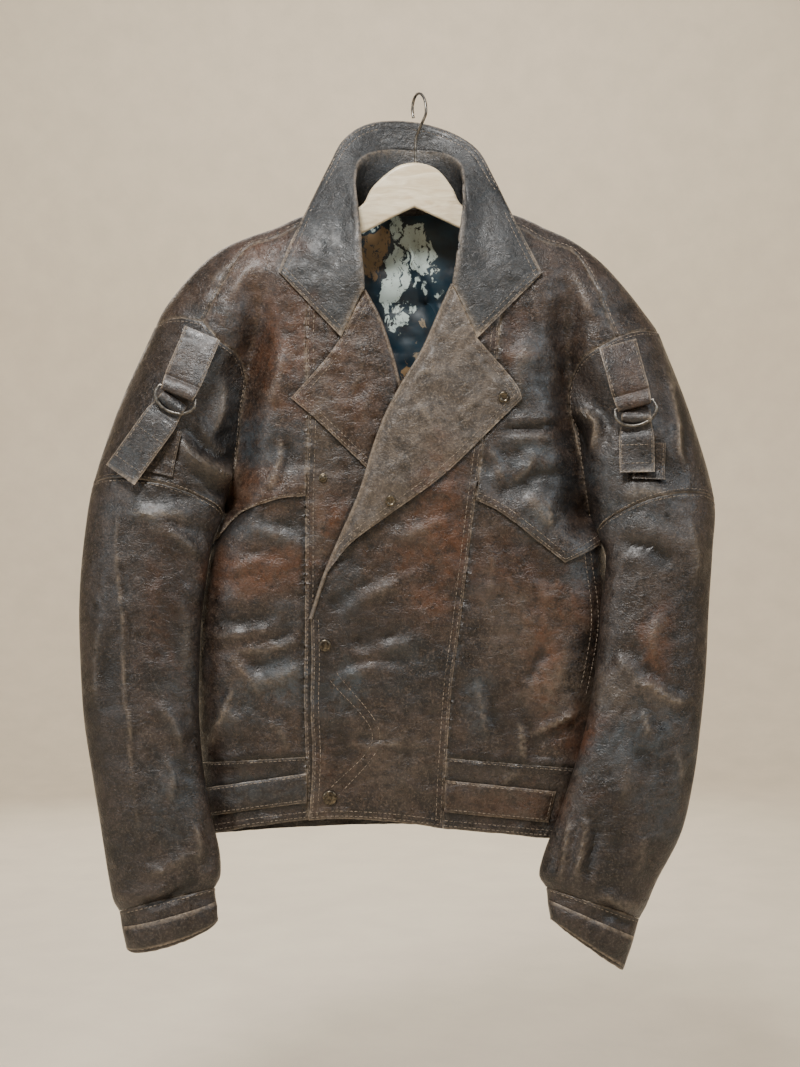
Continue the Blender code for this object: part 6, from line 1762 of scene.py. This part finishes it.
def body_panels(g, c, panels, mats):
    """The panels of the fronts, the back and the sleeves."""
    for name, groups in panels.items():
        if name in LAID:
            continue
        v, n, f, ids = sheet_of(g, np.vstack(groups))
        p = v[:, [0, 2]]
        over = [c[line] for line in SHADED.get(name, ())]
        over += [COLLAR_EDGE] if name in COLLAR_SHADES else []
        near = np.min([distance(p, line) for line in over], axis=0) if over else np.full(len(v), FAR)
        # painted shadow beside the edges that lie over this panel and under the collar's edge, on its
        # front-facing side
        hollow = np.maximum(g.hollow[ids], 0.85 * np.exp(-(near / 5.0) ** 2) * (n[:, 1] < 0))
        top = flap_height(p, c["tuck_" + name[6]]) if name.startswith("chest") else np.zeros(len(v))
        edge = next(share for start, share in EDGES if name.startswith(start))
        leather_piece(name, v, n, f, top - WALL, top, g.worn[ids], hollow, *leather_of(name, mats), edge,
                      cuts_round=1 if name == "back" else 2 if name.startswith(("sleeve", "cuff")) else 0,
                      rests=("hanger_board",) if name == "back" else ("leather_back",))


def laid_piece(name, g, faces, puff, edge, lies_on, mats):
    """A strip sewn down on a panel, a little puffed."""
    v, n, f, ids = sheet_of(g, faces)
    low = LIFT + puff * smooth(rim_distance(v, f) / 7)
    leather_piece(name, v, n, f, low, low + TRIM, g.worn[ids], g.hollow[ids], *leather_of(name, mats), edge,
                  held="laid", rests=("leather_" + lies_on,))


def lapel(g, c, faces, side, word, mats):
    """A lapel laid back over its front, and the bead of its rolled fold."""
    v, n, f, _ = sheet_of(g, faces)
    p = v[:, [0, 2]]
    d, rim = distance(p, LINES["roll_" + side]), rim_distance(v, f)
    lift, rub = folds(p, LAPEL_CREASES)
    uneven = rumple(p, 30, 22, 0.8, 5.0) + rumple(p, 12, 8, 0.4, 6.5, True) + 0.3
    lift += uneven * smooth((rim - 4) / 16)
    low = leaf_height(d, *LEAF[side]) + np.maximum(lift, -0.3) - 0.4 * pressed(rim) * (d > 14)
    shade = np.exp(-(distance(p, COLLAR_EDGE) / 4.0) ** 2)
    if side == "r":
        shade = np.maximum(shade, np.exp(-(distance(p, LINES["roll_l"]) / 7.0) ** 2))
    mat, slot = leather_of("lapel_" + word, mats)
    leather_piece("lapel_" + word, v, n, f, low, low + TRIM, rub, 0.8 * shade, mat, slot, 0.95,
                  held="folded", rests=("leather_front_centre_" + word,), along_y=True)
    line = c["roll_" + side]
    depth = (front_r if side == "r" else front_l)(line)
    path = [g.find((q[0], y, q[1])) for q, y in zip(line, depth)]
    bead, faces = tube(g.v[path] + np.array([0, -0.2, 0]), BEAD, 12)
    faces = outward(bead, faces)
    blank = np.zeros(len(bead))
    shares = dye(bead, corner_normals(bead, np.array(faces)), blank + 0.35, blank)
    make("leather_roll_" + word, bead, faces, shares, mat, [])


def lining(g, faces, mat):
    """The part of the back's lining that shows in the neck opening."""
    v, n, f, _ = sheet_of(g, faces)
    p = v[:, [0, 2]]
    depth = WALL + LIFT + np.maximum(folds(p, LINING_CREASES)[0] + rumple(p, 40, 60, 1.2, 8.0) + 1.2, 0)
    points, faces = wall(v, n, f, -depth - LINING, -depth)
    cloth = make("lining_back", points, faces, {}, mat, ["back_lining"])


def cuff_strap_span(ids, ends):
    """The first and the last row and column of a cuff strap."""
    return (ends[2] + CUFF_STRAP_ROWS[0], ends[3] + CUFF_STRAP_ROWS[1],
            *(round(share * ids.shape[1]) for share in CUFF_STRAP))


def main():
    g, c, panels, sleeves = skin()
    settle(g, c, sleeves)
    mats = {key: leather("leather_" + key, *row) for key, row in LEATHERS.items()}
    mats.update({"thread": thread("thread"), "print": print_cloth("lining_print"), "wood": wood("pale_wood"),
                 "steel": metal("steel_wire", (0.07, 0.065, 0.06), (0.26, 0.24, 0.21), 0.34),
                 "brass": metal("dark_brass", (0.045, 0.038, 0.030), (0.20, 0.165, 0.115), 0.30)})
    body_panels(g, c, panels, mats)
    for word, side in SIDES:
        tab = "waist_tab_" + word
        laid_piece(tab, g, np.vstack(panels[tab]), 1.2, 0.8, "waistband_" + word, mats)
        lapel(g, c, np.vstack(panels["lapel_" + word]), side, word, mats)
        strap = quads_of(sleeves[side][0], *cuff_strap_span(*sleeves[side]), side)
        laid_piece("cuff_strap_" + word, g, strap, 1.3, 0.95, "cuff_" + word, mats)
    lining(g, np.vstack(panels["back_lining"]), mats["print"])
    body = joined(BUILT.values())
    collar_rows = collar(g, c, body, mats["collar"])
    strap_rows = hang_straps(g, mats)
    hanger(mats["wood"])
    hook(mats["steel"])
    for name, x, z, rings, scale in STUDS:
        snap(name, body, x, z, [(r * scale, h) for r, h in rings], mats["brass"])
    for word, side in SIDES:
        sew_front(c, side, word, mats["thread"])
        sew_sleeve(g, *sleeves[side], word, mats["thread"])
    sew_rest(c, mats["thread"])
    sew("collar", collar_rows, mats["thread"])
    sew("straps", strap_rows, mats["thread"])


def joined(pieces):
    """One search tree over several pieces."""
    verts, faces = [], []
    for points, triangles in pieces:
        faces += [tuple(i + len(verts) for i in t) for t in triangles]
        verts += [tuple(p) for p in points]
    return surface(verts, faces)


def built(name):
    """A search tree over one leather piece."""
    return surface(*BUILT["leather_" + name])


def sew_front(c, side, word, mat):
    """The stitches of one front's panels and of its shoulder seam."""
    k, right = "_" + side, side == "r"
    one, two = (NEAR_ROW,), (NEAR_ROW, WIDE_ROW)
    inner = [("hem_under", one)] if right else [("free", two), ("hem_over", two)]
    leaf = range(0, 3) if right else range(1, 3)
    shapes = panels_of(c, side)
    for name, title, shape, lines in (
            ("front_centre_" + word, "front_centre_" + word, "centre", [("panel" + k, two)] + inner),
            ("chest_" + word, "chest_" + word, "chest", [("flap" + k, one if right else two)]),
            ("waistband_" + word, "waistband_" + word, "waist", [("waist" + k, one), ("hem" + k, two)]),
            ("back", "shoulder_" + word, "wedge", [("seam" + k, one)]),
            ("waist_tab_" + word, "waist_tab_" + word, "tab",
             [("tab" + k + str(i), one) for i in range(2 if right else 3)]),
            ("lapel_" + word, "lapel_" + word, "lapel", [("lapel" + k + str(i), two) for i in leaf])):
        paths = [beside(c[line], off, shapes[shape]) for line, offsets in lines for off in offsets]
        tree = built(name)
        sew(title, [onto(tree, path) for path in paths if len(path) > 3], mat)


def sew_sleeve(g, ids, ends, word, mat):
    """The stitches round one sleeve and along its cuff strap."""
    rows = []
    for name, row in (("sleeve_upper_", ends[1] - 2), ("sleeve_lower_", ends[1] + 2), ("cuff_", ends[3] - 2),
                      ("cuff_", ends[2] + 2), ("sleeve_upper_", 2)):
        rows.append(near_surface(built(name + word), g.v[np.append(ids[row], ids[row][0])]))
    first, last, a, b = cuff_strap_span(ids, ends)
    for row in (first + 2, last - 2):
        rows.append(near_surface(built("cuff_strap_" + word), g.v[ids[row][a + 1:b - 1]]))
    sew("sleeve_" + word, rows, mat)


def sew_rest(c, mat):
    """The rows that follow no edge, and those of the back's waistband."""
    for name, lines in MORE_ROWS.items():
        rows = [onto(built(name), dense(line, 20)) for line in lines]
        sew(name + "_more", [r for r in rows if len(r[0]) > 3], mat)
    tree = built("waistband_back")
    rows = [onto(tree, c["back_waist"][3:-3] - np.array((0, NEAR_ROW)), False)]
    rows += [onto(tree, c["back_hem"][3:-3] + np.array((0, off)), False) for off in (NEAR_ROW, WIDE_ROW)]
    sew("waistband_back", rows, mat)


studio()
main()
